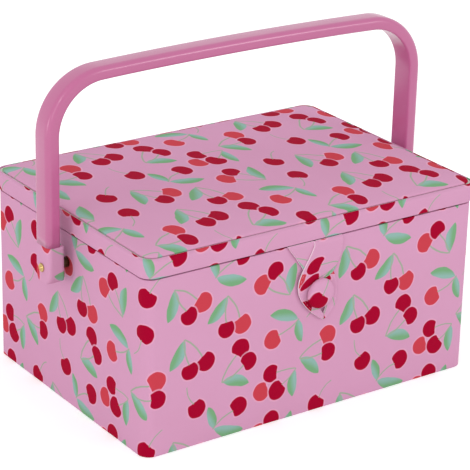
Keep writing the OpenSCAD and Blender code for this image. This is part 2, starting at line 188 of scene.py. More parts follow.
@dataclass(frozen=True)
class CherryPrint:
    """A plain scatter of cherries and leaves, drawn flat in screen-print inks, that repeats across the cloth.

    Its sizes are in millimetres of cloth, but what starts with leaf_, tone_ or stem_ is a share of the
    stroke's own size. The motifs stand on a half-drop grid, a little out of place and each turned its own
    way, so that no rows show.
    """

    columns: int = 4
    rows: int = 3
    pitch_x: float = 33.0
    pitch_y: float = 35.0
    stray: float = 3.2
    dent: float = 1.7
    dent_cosine: float = 0.7
    soft_edge: float = 0.22
    halo_end: float = 1.3
    halo_full: float = 0.6
    halo_ink: float = 0.7
    leaf_blunt: float = 0.75
    leaf_belly: float = 1.41
    leaf_edge: float = 0.06
    tone_slant: float = -0.45
    tone_low: float = -0.42
    tone_high: float = 0.02
    stem_edge: float = 0.04
    stem_core: float = 0.016
    seed: int = 11722
    mostly_crimson: float = 0.86
    half_crimson: float = 0.5
    ground: str = "#D39CBD"
    ground_shade: str = "#CF97B6"
    halo: str = "#E5A6C1"
    crimson: str = "#A2002B"
    coral: str = "#C63F4C"
    leaf_green: str = "#76A77B"
    leaf_teal: str = "#8DB3AA"
    stem_green: str = "#9CA894"
    order: tuple[Motif, ...] = (
        Motif.PAIR,
        Motif.SINGLE,
        Motif.PAIR,
        Motif.LEAFED,
        Motif.TRIO,
        Motif.PAIR,
        Motif.SINGLE,
        Motif.PAIR,
        Motif.LEAFED,
        Motif.SINGLE,
        Motif.PAIR,
        Motif.PAIR,
    )

    def draw_cherry(self) -> Tree:
        """Makes the group that prints one fruit, dented at its stalk, with a faint halo round it.

        Returns:
            The group, which takes the place, the fruit's centre, radius and ink, and the way to its stalk.
        """
        places = {"Point": "Vector", "Centre": "Vector", "Stalk": "Vector", "Radius": "Float"}
        tree, given = new_group("print_cherry", places | {"Ink": "Color", "Under": "Color"})
        apart = {0: given["Point"], 1: given["Centre"]}
        offset = add(tree, "ShaderNodeVectorMath", apart, operation="SUBTRACT")
        reach = add(tree, "ShaderNodeVectorMath", {0: offset}, operation="LENGTH")
        lean = add(tree, "ShaderNodeVectorMath", {0: offset, 1: given["Stalk"]}, operation="DOT_PRODUCT")
        cosine = add(tree, "ShaderNodeMath", {0: lean, 1: reach}, operation="DIVIDE")
        shoulders = {"Value": cosine, "From Min": self.dent_cosine, "To Max": self.dent}
        dent = add(tree, "ShaderNodeMapRange", shoulders, interpolation_type="SMOOTHSTEP")
        dented = add(tree, "ShaderNodeMath", {0: reach, 1: dent}, operation="ADD")
        past = add(tree, "ShaderNodeMath", {0: dented, 1: given["Radius"]}, operation="SUBTRACT")
        fade = {"Value": past, "From Min": self.halo_end, "From Max": self.halo_full, "To Max": self.halo_ink}
        bleed = add(tree, "ShaderNodeMapRange", fade)
        edge = {"Value": past, "From Min": self.soft_edge, "From Max": -self.soft_edge}
        body = add(tree, "ShaderNodeMapRange", edge)
        ring = {0: bleed, 6: given["Under"], 7: linear(self.halo)}
        soft = add(tree, "ShaderNodeMix", ring, data_type="RGBA")
        inked = add(tree, "ShaderNodeMix", {0: body, 6: soft, 7: given["Ink"]}, data_type="RGBA")
        add(tree, "NodeGroupOutput", {"Cloth": inked})
        return tree

    def draw_leaf(self) -> Tree:
        """Makes the group that prints one bent leaf, green on one side and teal on the other.

        Returns:
            The group, which takes the place and the leaf's base, turn, size and bend.
        """
        tree, given = self.start_stroke("print_leaf")
        blunt = add(tree, "ShaderNodeMath", {0: given["Fullness"], 1: self.leaf_blunt}, operation="POWER")
        edge = add(tree, "ShaderNodeMath", {0: blunt, 1: self.leaf_belly}, operation="MULTIPLY")
        margin = add(tree, "ShaderNodeMath", {0: edge, 1: given["Off"]}, operation="SUBTRACT")
        body = add(tree, "ShaderNodeMapRange", {"Value": margin, "From Min": 0.0, "From Max": self.leaf_edge})
        slant = {0: given["Along"], 1: self.tone_slant, 2: given["Across"]}
        drift = add(tree, "ShaderNodeMath", slant, operation="MULTIPLY_ADD")
        tones = {"Value": drift, "From Min": self.tone_low, "From Max": self.tone_high}
        tone = add(tree, "ShaderNodeMapRange", tones)
        inks = {0: tone, 6: linear(self.leaf_green), 7: linear(self.leaf_teal)}
        ink = add(tree, "ShaderNodeMix", inks, data_type="RGBA")
        inked = add(tree, "ShaderNodeMix", {0: body, 6: given["Under"], 7: ink}, data_type="RGBA")
        add(tree, "NodeGroupOutput", {"Cloth": inked})
        return tree

    def draw_stem(self) -> Tree:
        """Makes the group that prints one thin bent stem.

        Returns:
            The group, which takes the place and the stem's base, turn, size and bend.
        """
        tree, given = self.start_stroke("print_stem")
        edge = {"Value": given["Off"], "From Min": self.stem_edge, "From Max": self.stem_core}
        line = add(tree, "ShaderNodeMapRange", edge)
        within = add(tree, "ShaderNodeMath", {0: given["Fullness"], 1: 0.0}, operation="GREATER_THAN")
        body = add(tree, "ShaderNodeMath", {0: line, 1: within}, operation="MULTIPLY")
        inks = {0: body, 6: given["Under"], 7: linear(self.stem_green)}
        inked = add(tree, "ShaderNodeMix", inks, data_type="RGBA")
        add(tree, "NodeGroupOutput", {"Cloth": inked})
        return tree

    @staticmethod
    def start_stroke(name: str) -> tuple[Tree, dict[str, Socket | Node]]:
        """Starts a group that prints one bent stroke, laid out straight so that it runs from 0 to 1.

        Args:
            name: Name of the group.

        Returns:
            The group's tree, and by name its inputs, the place Along the stroke, the place Across it, the
            distance Off its line, and a Fullness that is 0 at both ends and 0.25 midway.
        """
        places = {"Point": "Vector", "Base": "Vector", "Turn": "Vector", "Size": "Vector"}
        tree, given = new_group(name, places | {"Bend": "Float", "Under": "Color"})
        frame_of = {"Vector": "Point", "Location": "Base", "Rotation": "Turn", "Scale": "Size"}
        straight = {key: given[label] for key, label in frame_of.items()}
        local = add(tree, "ShaderNodeMapping", straight, vector_type="TEXTURE")
        along, aside, _ = add(tree, "ShaderNodeSeparateXYZ", {0: local}).outputs
        left = add(tree, "ShaderNodeMath", {0: 1.0, 1: along}, operation="SUBTRACT")
        fullness = add(tree, "ShaderNodeMath", {0: along, 1: left}, operation="MULTIPLY")
        bent = {0: fullness, 1: given["Bend"], 2: aside}
        across = add(tree, "ShaderNodeMath", bent, operation="MULTIPLY_ADD")
        off = add(tree, "ShaderNodeMath", {0: across}, operation="ABSOLUTE")
        return tree, given | {"Along": along, "Across": across, "Off": off, "Fullness": fullness}

    def draw_motif(self, kind: Motif, tools: dict[str, Tree]) -> Tree:
        """Makes the group that prints one motif at a place and turn of its own, over what is there already.

        Args:
            kind: Which motif.
            tools: The groups that print a cherry, a leaf and a stem.

        Returns:
            The motif's group.
        """
        colours = {"First": "Color", "Second": "Color", "Under": "Color"}
        places = {"Point": "Vector", "Centre": "Vector", "Angle": "Float"}
        tree, given = new_group(f"print_{kind.value}", places | colours)
        half = (self.columns * self.pitch_x / 2, self.rows * self.pitch_y / 2, 1.0)
        apart = {0: given["Point"], 1: given["Centre"]}
        offset = add(tree, "ShaderNodeVectorMath", apart, operation="SUBTRACT")
        repeat = {0: offset, 1: half, 2: [-h for h in half]}
        wrapped = add(tree, "ShaderNodeVectorMath", repeat, operation="WRAP")
        turned = {"Vector": wrapped, "Angle": given["Angle"]}
        local = add(tree, "ShaderNodeVectorRotate", turned, rotation_type="Z_AXIS")
        cloth = given["Under"]
        for tool, values in self.strokes(kind):
            named = {key: given[value] if isinstance(value, str) else value for key, value in values.items()}
            inputs = {"Point": local, "Under": cloth} | named
            cloth = add(tree, "ShaderNodeGroup", inputs, node_tree=tools[tool])
        add(tree, "NodeGroupOutput", {"Cloth": cloth})
        return tree

    @staticmethod
    def strokes(kind: Motif) -> list[tuple[str, dict]]:
        """Lists what a motif is printed from.

        Args:
            kind: Which motif.

        Returns:
            The strokes, the lowest layer first, each as a tool's name and its inputs.
        """

        def line(tool: str, start: Spot, end: Spot, bend: float, wide: float = 0.0) -> tuple[str, dict]:
            """Lays a leaf or a stem from one place to another."""
            run = Vector(end) - Vector(start)
            turn = math.atan2(run.y, run.x)
            size = (run.length, wide or run.length, 1.0)
            return tool, {"Base": (*start, 0.0), "Turn": (0.0, 0.0, turn), "Size": size, "Bend": bend}

        def fruit(x: float, y: float, radius: float, ink: str, stalk: float) -> tuple[str, dict]:
            """Places one cherry, with its stalk at an angle in degrees."""
            up = math.radians(stalk)
            way = (math.cos(up), math.sin(up), 0.0)
            return "cherry", {"Centre": (x, y, 0.0), "Radius": radius, "Ink": ink, "Stalk": way}

        if kind is Motif.PAIR:
            return [
                line("leaf", (-1.0, 14.5), (-18.5, 2.0), -0.7, 8.8),
                fruit(6.4, -8.8, 6.8, "Second", 105),
                fruit(-5.8, -7.2, 6.3, "First", 80),
                line("stem", (-1.0, 15.0), (-4.9, -3.0), 0.25),
                line("stem", (-1.0, 15.0), (5.2, -3.6), -0.3),
            ]
        if kind is Motif.TRIO:
            return [
                line("leaf", (0.5, 15.0), (18.5, 8.0), 0.6, 8.0),
                fruit(1.5, -12.8, 6.5, "Second", 95),
                fruit(-6.8, -2.5, 6.3, "First", 70),
                fruit(7.1, -1.6, 6.8, "First", 110),
                line("stem", (0.0, 16.0), (-5.4, 1.6), 0.2),
                line("stem", (0.0, 16.0), (5.6, 2.8), -0.2),
            ]
        if kind is Motif.LEAFED:
            return [
                line("leaf", (-5.0, 13.0), (-12.5, -9.5), 0.6, 8.8),
                line("leaf", (-5.0, 13.0), (12.0, 16.5), 0.5, 7.2),
                fruit(5.0, -6.5, 6.8, "First", 110),
                line("stem", (-5.0, 14.0), (3.2, -2.2), -0.3),
            ]
        return [fruit(-2.0, -5.5, 6.7, "First", 60), line("stem", (8.0, 10.0), (0.0, -1.6), 0.45)]

    def over(self, tree: Tree, point: Node) -> Node:
        """Prints the whole repeat over the ground colour.

        Args:
            tree: The material's tree.
            point: The place on the cloth, in millimetres.

        Returns:
            The printed colour.
        """
        tools = {"cherry": self.draw_cherry(), "leaf": self.draw_leaf(), "stem": self.draw_stem()}
        motifs = {kind: self.draw_motif(kind, tools) for kind in Motif}
        chance = random.Random(self.seed)
        wash = add(tree, "ShaderNodeTexNoise", {"Vector": point, "Scale": 0.02, "Detail": 2.0})
        grounds = {0: wash, 6: linear(self.ground), 7: linear(self.ground_shade)}
        cloth = add(tree, "ShaderNodeMix", grounds, data_type="RGBA")
        inks = {True: linear(self.crimson), False: linear(self.coral)}
        for place, kind in enumerate(self.order):
            column, row = place % self.columns, place // self.columns
            centre = (
                (column + 0.5) * self.pitch_x + chance.uniform(-self.stray, self.stray),
                (row + 0.25 + 0.5 * (column % 2)) * self.pitch_y + chance.uniform(-self.stray, self.stray),
                0.0,
            )
            inputs = {
                "Point": point,
                "Centre": centre,
                "Angle": chance.uniform(-math.pi, math.pi),
                "First": inks[chance.random() < self.mostly_crimson],
                "Second": inks[chance.random() < self.half_crimson],
                "Under": cloth,
            }
            cloth = add(tree, "ShaderNodeGroup", inputs, node_tree=motifs[kind])
        return cloth


# ---------- Finishes ----------


@dataclass(frozen=True)
class Finish:
    """A surface finish, made once as a material and shared by the pieces that have it."""

    name: str

    def material(self) -> bpy.types.Material:
        """Gives the finish's material, and makes it the first time.

        Returns:
            The material, which all pieces with this finish share.
        """
        made = bpy.data.materials.get(self.name)
        if made is None:
            made = bpy.data.materials.new(self.name)
            made.use_nodes = True
            tree = made.node_tree
            tree.nodes.clear()
            shader = add(tree, "ShaderNodeBsdfPrincipled")
            add(tree, "ShaderNodeOutputMaterial", {"Surface": shader})
            self.dress(tree, shader)
        return made

    def dress(self, tree: Tree, shader: Node) -> None:
        """Sets the shader's inputs and builds the pattern that feeds them.

        Args:
            tree: The material's tree.
            shader: Its shader.
        """
        raise NotImplementedError

    @staticmethod
    def place(tree: Tree) -> Node:
        """Gives the place on the object in millimetres, from its own coordinates."""
        where = add(tree, "ShaderNodeTexCoord").outputs["Object"]
        return add(tree, "ShaderNodeVectorMath", {0: where, 3: 1 / MM}, operation="SCALE")

    @staticmethod
    def cloth_place(tree: Tree) -> Node:
        """Gives the place on the cloth in millimetres, from the map that the piece's mesh carries."""
        where = add(tree, "ShaderNodeUVMap", uv_map=CLOTH_MAP)
        return add(tree, "ShaderNodeVectorMath", {0: where, 3: 1 / MM}, operation="SCALE")

    @staticmethod
    def threads(tree: Tree, point: Node, pitch: float, axis: str) -> Socket:
        """Gives a wave across parallel threads.

        Args:
            tree: The material's tree.
            point: The place in millimetres.
            pitch: Thread spacing in millimetres.
            axis: X or Y, the way the threads follow each other.

        Returns:
            A height from 0 to 1.
        """
        waves_per_unit = 20 / math.tau  # the wave node's own count at a scale of 1
        wave = {"Vector": point, "Scale": 1 / (pitch * waves_per_unit), "Distortion": 0.6, "Detail": 1.0}
        return add(tree, "ShaderNodeTexWave", wave, bands_direction=axis).outputs["Fac"]

    @staticmethod
    def raise_by(tree: Tree, shader: Node, height: Socket | Node, strength: float, depth: float) -> None:
        """Gives the surface a fine relief.

        Args:
            tree: The material's tree.
            shader: The shader that gets it.
            height: Its height, from 0 to 1.
            strength: How much of it shows.
            depth: Its depth in millimetres.
        """
        relief = {"Height": height, "Strength": strength, "Distance": depth * MM}
        feed(tree, shader, {"Normal": add(tree, "ShaderNodeBump", relief)})


@dataclass(frozen=True)
class Mottled(Finish):
    """A finish that drifts between two close colours."""

    colour: str
    shade: str

    def mottle(self, tree: Tree, shader: Node, amount: Node) -> None:
        """Feeds the shader the two colours, mixed by an amount from 0 to 1."""
        tones = {0: amount, 6: linear(self.colour), 7: linear(self.shade)}
        feed(tree, shader, {"Base Color": add(tree, "ShaderNodeMix", tones, data_type="RGBA")})


@dataclass(frozen=True)
class PrintedCotton(Finish):
    """Plain-woven cotton, screen-printed and glued over board: matt, with a dry bloom at grazing angles.

    Real threads lie about 0.25 mm apart. They are drawn coarser, so that they can still be told apart.
    """

    name: str = "printed_cotton"
    thread_pitch: float = 0.5
    outline_wobble: float = 1.6

    def dress(self, tree: Tree, shader: Node) -> None:
        """Prints the cherries, with outlines that wander a little, and raises the weave.

        Args:
            tree: The material's tree.
            shader: Its shader.
        """
        point = self.cloth_place(tree)
        wobble = add(tree, "ShaderNodeTexNoise", {"Vector": point, "Scale": 0.11, "Detail": 1.5})
        size = (self.outline_wobble, self.outline_wobble, 0.0)
        moved = {0: wobble.outputs["Color"], 1: size, 2: point}
        shaken = add(tree, "ShaderNodeVectorMath", moved, operation="MULTIPLY_ADD")
        warp = self.threads(tree, point, self.thread_pitch, "X")
        weft = self.threads(tree, point, self.thread_pitch, "Y")
        weave = add(tree, "ShaderNodeMath", {0: warp, 1: weft}, operation="ADD")
        self.raise_by(tree, shader, weave, strength=0.25, depth=0.06)
        feed(tree, shader, {"Base Color": CherryPrint().over(tree, shaken), "Roughness": 0.85})
        feed(tree, shader, {"Specular IOR Level": 0.06, "Sheen Weight": 0.015, "Sheen Roughness": 0.4})


@dataclass(frozen=True)
class Satin(Mottled):
    """Polyester satin: long floats give it a soft, stretched highlight along the weft.

    Real floats lie about 0.1 mm apart. They are drawn coarser, so that they can still be told apart.
    """

    name: str = "satin_weave"
    colour: str = "#EBD7DD"
    shade: str = "#E0C5CE"
    thread_pitch: float = 0.35
    pull_height: float = 6.0

    def dress(self, tree: Tree, shader: Node) -> None:
        """Lays fine floats one way, with slow pulls in the cloth.

        Args:
            tree: The material's tree.
            shader: Its shader.
        """
        point = self.cloth_place(tree)
        pulls = add(tree, "ShaderNodeTexNoise", {"Vector": point, "Scale": 0.035, "Detail": 3.0})
        self.mottle(tree, shader, pulls)
        floats = self.threads(tree, point, self.thread_pitch, "Y")
        raised = {0: pulls, 1: self.pull_height, 2: floats}
        height = add(tree, "ShaderNodeMath", raised, operation="MULTIPLY_ADD")
        self.raise_by(tree, shader, height, strength=0.3, depth=0.06)
        feed(tree, shader, {"Roughness": 0.36, "Anisotropic": 0.55, "Sheen Weight": 0.2})


@dataclass(frozen=True)
class MouldedPlastic(Mottled):
    """Injection-moulded plastic straight from the tool: smooth, with faint flow marks under a soft gloss."""

    name: str = "moulded_polypropylene"
    colour: str = "#BD6190"
    shade: str = "#B65B8A"
    roughness: float = 0.31
    grain: float = 0.9
    see_through: float = 0.0
    polish: float = 0.5

    def dress(self, tree: Tree, shader: Node) -> None:
        """Mottles the colour faintly and raises a fine tool texture.

        Args:
            tree: The material's tree.
            shader: Its shader.
        """
        point = self.place(tree)
        flow = add(tree, "ShaderNodeTexNoise", {"Vector": point, "Scale": 0.03, "Detail": 2.0})
        self.mottle(tree, shader, flow)
        tool = add(tree, "ShaderNodeTexNoise", {"Vector": point, "Scale": 1 / self.grain, "Detail": 2.0})
        self.raise_by(tree, shader, tool, strength=0.12, depth=0.03)
        spread = {"Value": flow, "To Min": self.roughness - 0.04, "To Max": self.roughness + 0.05}
        feed(tree, shader, {"Roughness": add(tree, "ShaderNodeMapRange", spread), "IOR": 1.49})
        feed(tree, shader, {"Coat Weight": self.polish, "Coat Roughness": 0.2})
        feed(tree, shader, {"Subsurface Weight": self.see_through, "Subsurface Scale": 1.5 * MM})


@dataclass(frozen=True)
class Metal(Mottled):
    """Plated or solid metal, tumbled smooth: bright, with hairline scuffs."""

    roughness: float

    def dress(self, tree: Tree, shader: Node) -> None:
        """Scuffs the roughness and dulls the colour in patches.

        Args:
            tree: The material's tree.
            shader: Its shader.
        """
        point = self.place(tree)
        dull = add(tree, "ShaderNodeTexNoise", {"Vector": point, "Scale": 0.5, "Detail": 4.0})
        self.mottle(tree, shader, dull)
        scuffs = add(tree, "ShaderNodeTexNoise", {"Vector": point, "Scale": 3.0, "Detail": 5.0})
        spread = {"Value": scuffs, "To Min": self.roughness - 0.08, "To Max": self.roughness + 0.12}
        feed(tree, shader, {"Roughness": add(tree, "ShaderNodeMapRange", spread), "Metallic": 1.0})


@dataclass(frozen=True)
class Fibrous(Mottled):
    """Pressed or foamed stuff, such as greyboard or foam: dull, specked by its fibres or cells."""

    speck: float
    depth: float

    def dress(self, tree: Tree, shader: Node) -> None:
        """Specks the colour and pits the surface.

        Args:
            tree: The material's tree.
            shader: Its shader.
        """
        point = self.place(tree)
        specks = add(tree, "ShaderNodeTexNoise", {"Vector": point, "Scale": 1 / self.speck, "Detail": 6.0})
        spread = add(tree, "ShaderNodeMapRange", {"Value": specks, "From Min": 0.3, "From Max": 0.7})
        self.mottle(tree, shader, spread)
        self.raise_by(tree, shader, specks, strength=0.5, depth=self.depth)
        feed(tree, shader, {"Roughness": 0.9})


@dataclass(frozen=True)
class Napped(Mottled):
    """Cloth with a short pile or ribs, such as velveteen or elastic: it brightens where it turns away."""

    rib_pitch: float
    rib_depth: float
    sheen: float
    rib_axis: str = "X"

    def dress(self, tree: Tree, shader: Node) -> None:
        """Shades the pile in slow patches and raises its ribs.

        Args:
            tree: The material's tree.
            shader: Its shader.
        """
        point = self.cloth_place(tree)
        lay = add(tree, "ShaderNodeTexNoise", {"Vector": point, "Scale": 0.12, "Detail": 4.0})
        self.mottle(tree, shader, lay)
        ribs = self.threads(tree, point, self.rib_pitch, self.rib_axis)
        self.raise_by(tree, shader, ribs, strength=0.5, depth=self.rib_depth)
        feed(tree, shader, {"Roughness": 0.82, "Sheen Weight": self.sheen, "Sheen Roughness": 0.35})


COTTON = PrintedCotton()
SATIN = Satin()
HANDLE_PLASTIC = MouldedPlastic()
TRAY_PLASTIC = MouldedPlastic(
    "moulded_polystyrene", "#EFE9EA", "#E9E1E4", roughness=0.27, grain=1.4, see_through=0.15, polish=0.2
)
BRASS = Metal("tumbled_brass", "#D2B679", "#B3925A", roughness=0.24)
# The spacers' brass, painted dark olive-brown: painted shade for the narrow gap behind the tabs.
BRASS_IN_PAINTED_SHADE = Metal("brass_painted_shade", "#645A3E", "#4A422E", roughness=0.42)
STEEL = Metal("zinc_plated_steel", "#C3C6C8", "#A5A9AD", roughness=0.34)
GREYBOARD = Fibrous("greyboard", "#A79F95", "#8E867D", speck=1.6, depth=0.12)
BASE_PAPER = Fibrous("kraft_backing_paper", "#8C8480", "#7D7672", speck=2.4, depth=0.05)
FOAM = Fibrous("polyurethane_foam", "#EFEBDD", "#E2DCCB", speck=0.9, depth=0.2)
ELASTIC = Napped("woven_elastic", "#C9668F", "#BC5883", rib_pitch=1.1, rib_depth=0.2, sheen=0.2, rib_axis="Y")
VELVETEEN = Napped("velveteen", "#C4547F", "#AE4470", rib_pitch=0.6, rib_depth=0.1, sheen=0.6)
# Pale pink for the loop's folded edges: a painted highlight where the folds catch the light, not a colour of
# the cloth.
PAINTED_FOLD_HIGHLIGHT = Napped("cotton_painted_fold_highlight", "#F0D6E2", "#E8C8D7", rib_pitch=0.5, rib_depth=0.03, sheen=0.1)
THREAD = Napped("polyester_thread", "#DDB2C9", "#D6A7C1", rib_pitch=0.4, rib_depth=0.05, sheen=0.1)


def finish_with(piece: Piece, finish: Finish, slot: str | None = None) -> Piece:
    """Gives a piece one finish all over.

    Args:
        piece: The piece.
        finish: Its finish.
        slot: Not used.

    Returns:
        The same piece.
    """
    piece.data.materials.clear()
    piece.data.materials.append(finish.material())
    return piece if slot else piece


def dress_nodes(finish: Finish, *nodes: str) -> None:
    """Gives one finish to CAD pieces that keep their own shape."""
    for node in nodes:
        finish_with(frame["nodes"][node], finish)


# ---------- Meshes ----------


@dataclass(frozen=True)
class Extent:
    """Where a CAD node lies at rest."""

    low: Vector
    high: Vector

    @classmethod
    def of(cls, node: str) -> "Extent":
        """Reads a node's lowest and highest corners from the frame."""
        return cls(*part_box(node))

    @property
    def middle(self) -> Vector:
        """The node's centre."""
        return (self.low + self.high) / 2

    @property
    def half(self) -> Vector:
        """Half of the node's size each way."""
        return (self.high - self.low) / 2


def put_in_scene(name: str, data: bpy.types.ID) -> Piece:
    """Makes an object and links it to the scene.

    Args:
        name: Its name.
        data: Its mesh, lamp or camera.

    Returns:
        The object.
    """
    made = bpy.data.objects.new(name, data)
    bpy.context.scene.collection.objects.link(made)
    return made


def new_mesh(name: str, points: Sequence, faces: Sequence, uv: Sequence) -> Piece:
    """Makes a smooth mesh object with a cloth map.

    Args:
        name: The piece's name.
        points: Its vertices.
        faces: Its faces, each as vertex numbers, anticlockwise from outside.
        uv: A place on the cloth for each corner of each face, in metres.

    Returns:
        The object, linked to the scene.
    """
    mesh = bpy.data.meshes.new(name)
    mesh.from_pydata([tuple(p) for p in points], [], [tuple(f) for f in faces])
    mesh.uv_layers.new(name=CLOTH_MAP).data.foreach_set("uv", np.asarray(uv, np.float32).ravel())
    mesh.polygons.foreach_set("use_smooth", [True] * len(mesh.polygons))
    return put_in_scene(name, mesh)


def skin(name: str, rows: int, columns: int, place: Grid, wrap: bool = False) -> Piece:
    """Makes a surface from a grid of points.

    Args:
        name: The piece's name.
        rows: How many rows, which run upwards as seen from outside.
        columns: How many points in a row, which run anticlockwise as seen from outside.
        place: Gives a point, and its place on the cloth, from its row and column. Where the grid wraps round,
            it is also asked for the column after the last, which is the first one's point again.
        wrap: True if the last column joins the first.

    Returns:
        The object.
    """
    strides = columns if wrap else columns - 1
    grid = [[place(i, j) for j in range(strides + 1)] for i in range(rows)]
    points = [point for row in grid for point, _ in row[:columns]]
    faces, corners = [], []
    for i, (row, above) in enumerate(zip(grid, grid[1:])):
        for j in range(strides):
            k, low, high = (j + 1) % columns, i * columns, (i + 1) * columns
            faces.append((low + j, low + k, high + k, high + j))
            corners += [row[j][1], row[j + 1][1], above[j + 1][1], above[j][1]]
    return new_mesh(name, points, faces, corners)


def weld(piece: Piece, reach: float = 0.01 * MM) -> Piece:
    """Joins points that lie on each other and drops the faces that this flattens.

    Args:
        piece: The piece.
        reach: How far apart two points may lie and still be joined.

    Returns:
        The same piece.
    """
    bm = bmesh.new()
    bm.from_mesh(piece.data)
    bmesh.ops.remove_doubles(bm, verts=bm.verts, dist=reach)
    bmesh.ops.dissolve_degenerate(bm, edges=bm.edges, dist=reach)
    bm.to_mesh(piece.data)
    bm.free()
    return piece


def close_ends(piece: Piece) -> Piece:
    """Closes a tube's open ends and turns its faces outwards.

    Args:
        piece: The tube.

    Returns:
        The same piece.
    """
    bm = bmesh.new()
    bm.from_mesh(piece.data)
    bmesh.ops.holes_fill(bm, edges=[e for e in bm.edges if e.is_boundary])
    bmesh.ops.recalc_face_normals(bm, faces=bm.faces)
    bm.to_mesh(piece.data)
    bm.free()
    return piece


def recut(piece: Piece, shift: Spot = (0.0, 0.0), longer: float = 1.0) -> None:
    """Cuts a piece from another place on the printed cloth, or draws the print on it out.

    Args:
        piece: The piece.
        shift: How far the cut moves.
        longer: How many times as long the print is along the cloth's Y.
    """
    for corner in piece.data.uv_layers[CLOTH_MAP].data:
        corner.uv = (corner.uv[0] + shift[0], corner.uv[1] / longer + shift[1])


def thicken(piece: Piece, thickness: float) -> Piece:
    """Gives a one-sided surface its cloth's thickness, on its inner side.

    Args:
        piece: The surface.
        thickness: How thick the cloth is.

    Returns:
        The same piece.
    """
    solid = piece.modifiers.new("cloth_thickness", "SOLIDIFY")
    solid.thickness = thickness
    solid.offset = -1
    solid.use_even_offset = True
    return piece


def crisp(piece: Piece, width: float) -> Piece:
    """Breaks the sharp edges of a moulded CAD piece, as its tool leaves them.

    Args:
        piece: The piece.
        width: How wide the broken edges are.

    Returns:
        The same piece.
    """
    sharp = math.radians(35)
    piece.modifiers.new("joined_faces", "WELD").merge_threshold = 0.005 * MM
    bevel = piece.modifiers.new("broken_edges", "BEVEL")
    bevel.width = width
    bevel.segments = 2
    bevel.limit_method = "ANGLE"
    bevel.angle_limit = sharp
    bevel.harden_normals = True
    return piece


def route(*corners: Spot) -> Path:
    """Makes a path from its corners."""
    return [Vector(corner) for corner in corners]


def rounded(inset: float, reach: float) -> float:
    """Gives a height that rises from 0 at an edge to 1 at a reach in from it, as a quarter circle does."""
    near = min(inset / reach, 1.0)
    return math.sqrt(1 - (1 - near) ** 2)


def soften(path: Path, cut: float, steps: int = 4) -> Path:
    """Rounds the inner corners of a path.

    Args:
        path: Its points.
        cut: How far from each corner the curve starts and ends.
        steps: Points along each curve.

    Returns:
        The rounded path.
    """
    curved = [path[0]]
    for before, corner, after in zip(path, path[1:], path[2:]):
        ends = []
        for other in (before, after):
            run = other - corner
            ends.append(corner + run.normalized() * min(cut, run.length * 0.48))
        for i in range(steps + 1):
            t = i / steps
            curved.append(ends[0] * (1 - t) ** 2 + corner * 2 * t * (1 - t) + ends[1] * t**2)
    return [*curved, path[-1]]


def spaced(path: Path, step: float) -> Path:
    """Adds points to a path wherever two of them lie more than a step apart.

    Args:
        path: Its points.
        step: The widest gap that stays.

    Returns:
        The filled path.
    """
    filled = [path[0]]
    for start, end in zip(path, path[1:]):
        count = max(1, math.ceil((end - start).length / step))
        filled += [start.lerp(end, (i + 1) / count) for i in range(count)]
    return filled


def lengths_of(path: Sequence[Vector]) -> list[float]:
    """Measures how far along a path each of its points lies.

    Args:
        path: Its points.

    Returns:
        A length for each point, the first one 0.
    """
    run = [0.0]
    for start, end in zip(path, path[1:]):
        run.append(run[-1] + (end - start).length)
    return run


def through(points: Sequence[Vector], count: int) -> Path:
    """Draws a smooth curve through points.

    Args:
        points: What it passes through.
        count: How many points the curve gets.

    Returns:
        Points along the curve, evenly spaced between the given ones.
    """
    ends = [points[0] * 2 - points[1], *points, points[-1] * 2 - points[-2]]
    curve = []
    for i in range(count):
        place = i / (count - 1) * (len(points) - 1)
        k = min(int(place), len(points) - 2)
        t = place - k
        a, b, c, d = ends[k : k + 4]
        square, cube = a * 2 - b * 5 + c * 4 - d, b * 3 - a - c * 3 + d
        curve.append((b * 2 + (c - a) * t + square * t**2 + cube * t**3) / 2)
    return curve


@dataclass(frozen=True)
class Station:
    """A place on a rounded outline: a point inside it, the way out from there, and the distance walked."""

    base: Vector
    out: Vector
    walked: float


@dataclass(frozen=True)
class RoundRect:
    """A rectangle with round corners, seen from above."""

    half_x: float
    half_y: float
    radius: float
    centre: Vector = Vector((0.0, 0.0))

    def walk(self, step: float, turns: int = 8) -> list[Station]:
        """Walks once round, anticlockwise from the middle of the back.

        Args:
            step: Longest stride along a straight side.
            turns: Strides round a corner.

        Returns:
            The stations, and as the last one the start again with the whole distance walked.
        """
        cx, cy = self.half_x - self.radius, self.half_y - self.radius
        stops = [(-cx, cy, 90), (-cx, -cy, 180), (cx, -cy, 270), (cx, cy, 360), (0.0, cy, 450)]
        found, walked, here = [], 0.0, Vector((0.0, cy))
        for x, y, heading in stops:
            corner = Vector((x, y))
            out = Vector((math.cos(math.radians(heading)), math.sin(math.radians(heading))))
            run = (corner - here).length
            count = max(1, math.ceil(run / step))
            for i in range(count):
                found.append(Station(here.lerp(corner, i / count), out, walked + run * i / count))
            walked += run
            if heading < 450:
                for i in range(turns):
                    angle = math.radians(heading + 90 * i / turns)
                    out = Vector((math.cos(angle), math.sin(angle)))
                    found.append(Station(corner, out, walked + self.radius * math.pi / 2 * i / turns))
                walked += self.radius * math.pi / 2
            here = corner
        return [*found, Station(here, Vector((0.0, 1.0)), walked)]

    def at(self, station: Station, inset: float, height: float) -> Vector:
        """Gives the point at a station.

        Args:
            station: The station.
            inset: How far in from the outline the point lies.
            height: How high it lies.

        Returns:
            The point.
        """
        flat = station.base + station.out * (self.radius - inset)
        limit_x, limit_y = max(self.half_x - inset, 0.0), max(self.half_y - inset, 0.0)
        x = min(max(flat.x, -limit_x), limit_x)
        y = min(max(flat.y, -limit_y), limit_y)
        return Vector((x + self.centre.x, y + self.centre.y, height))


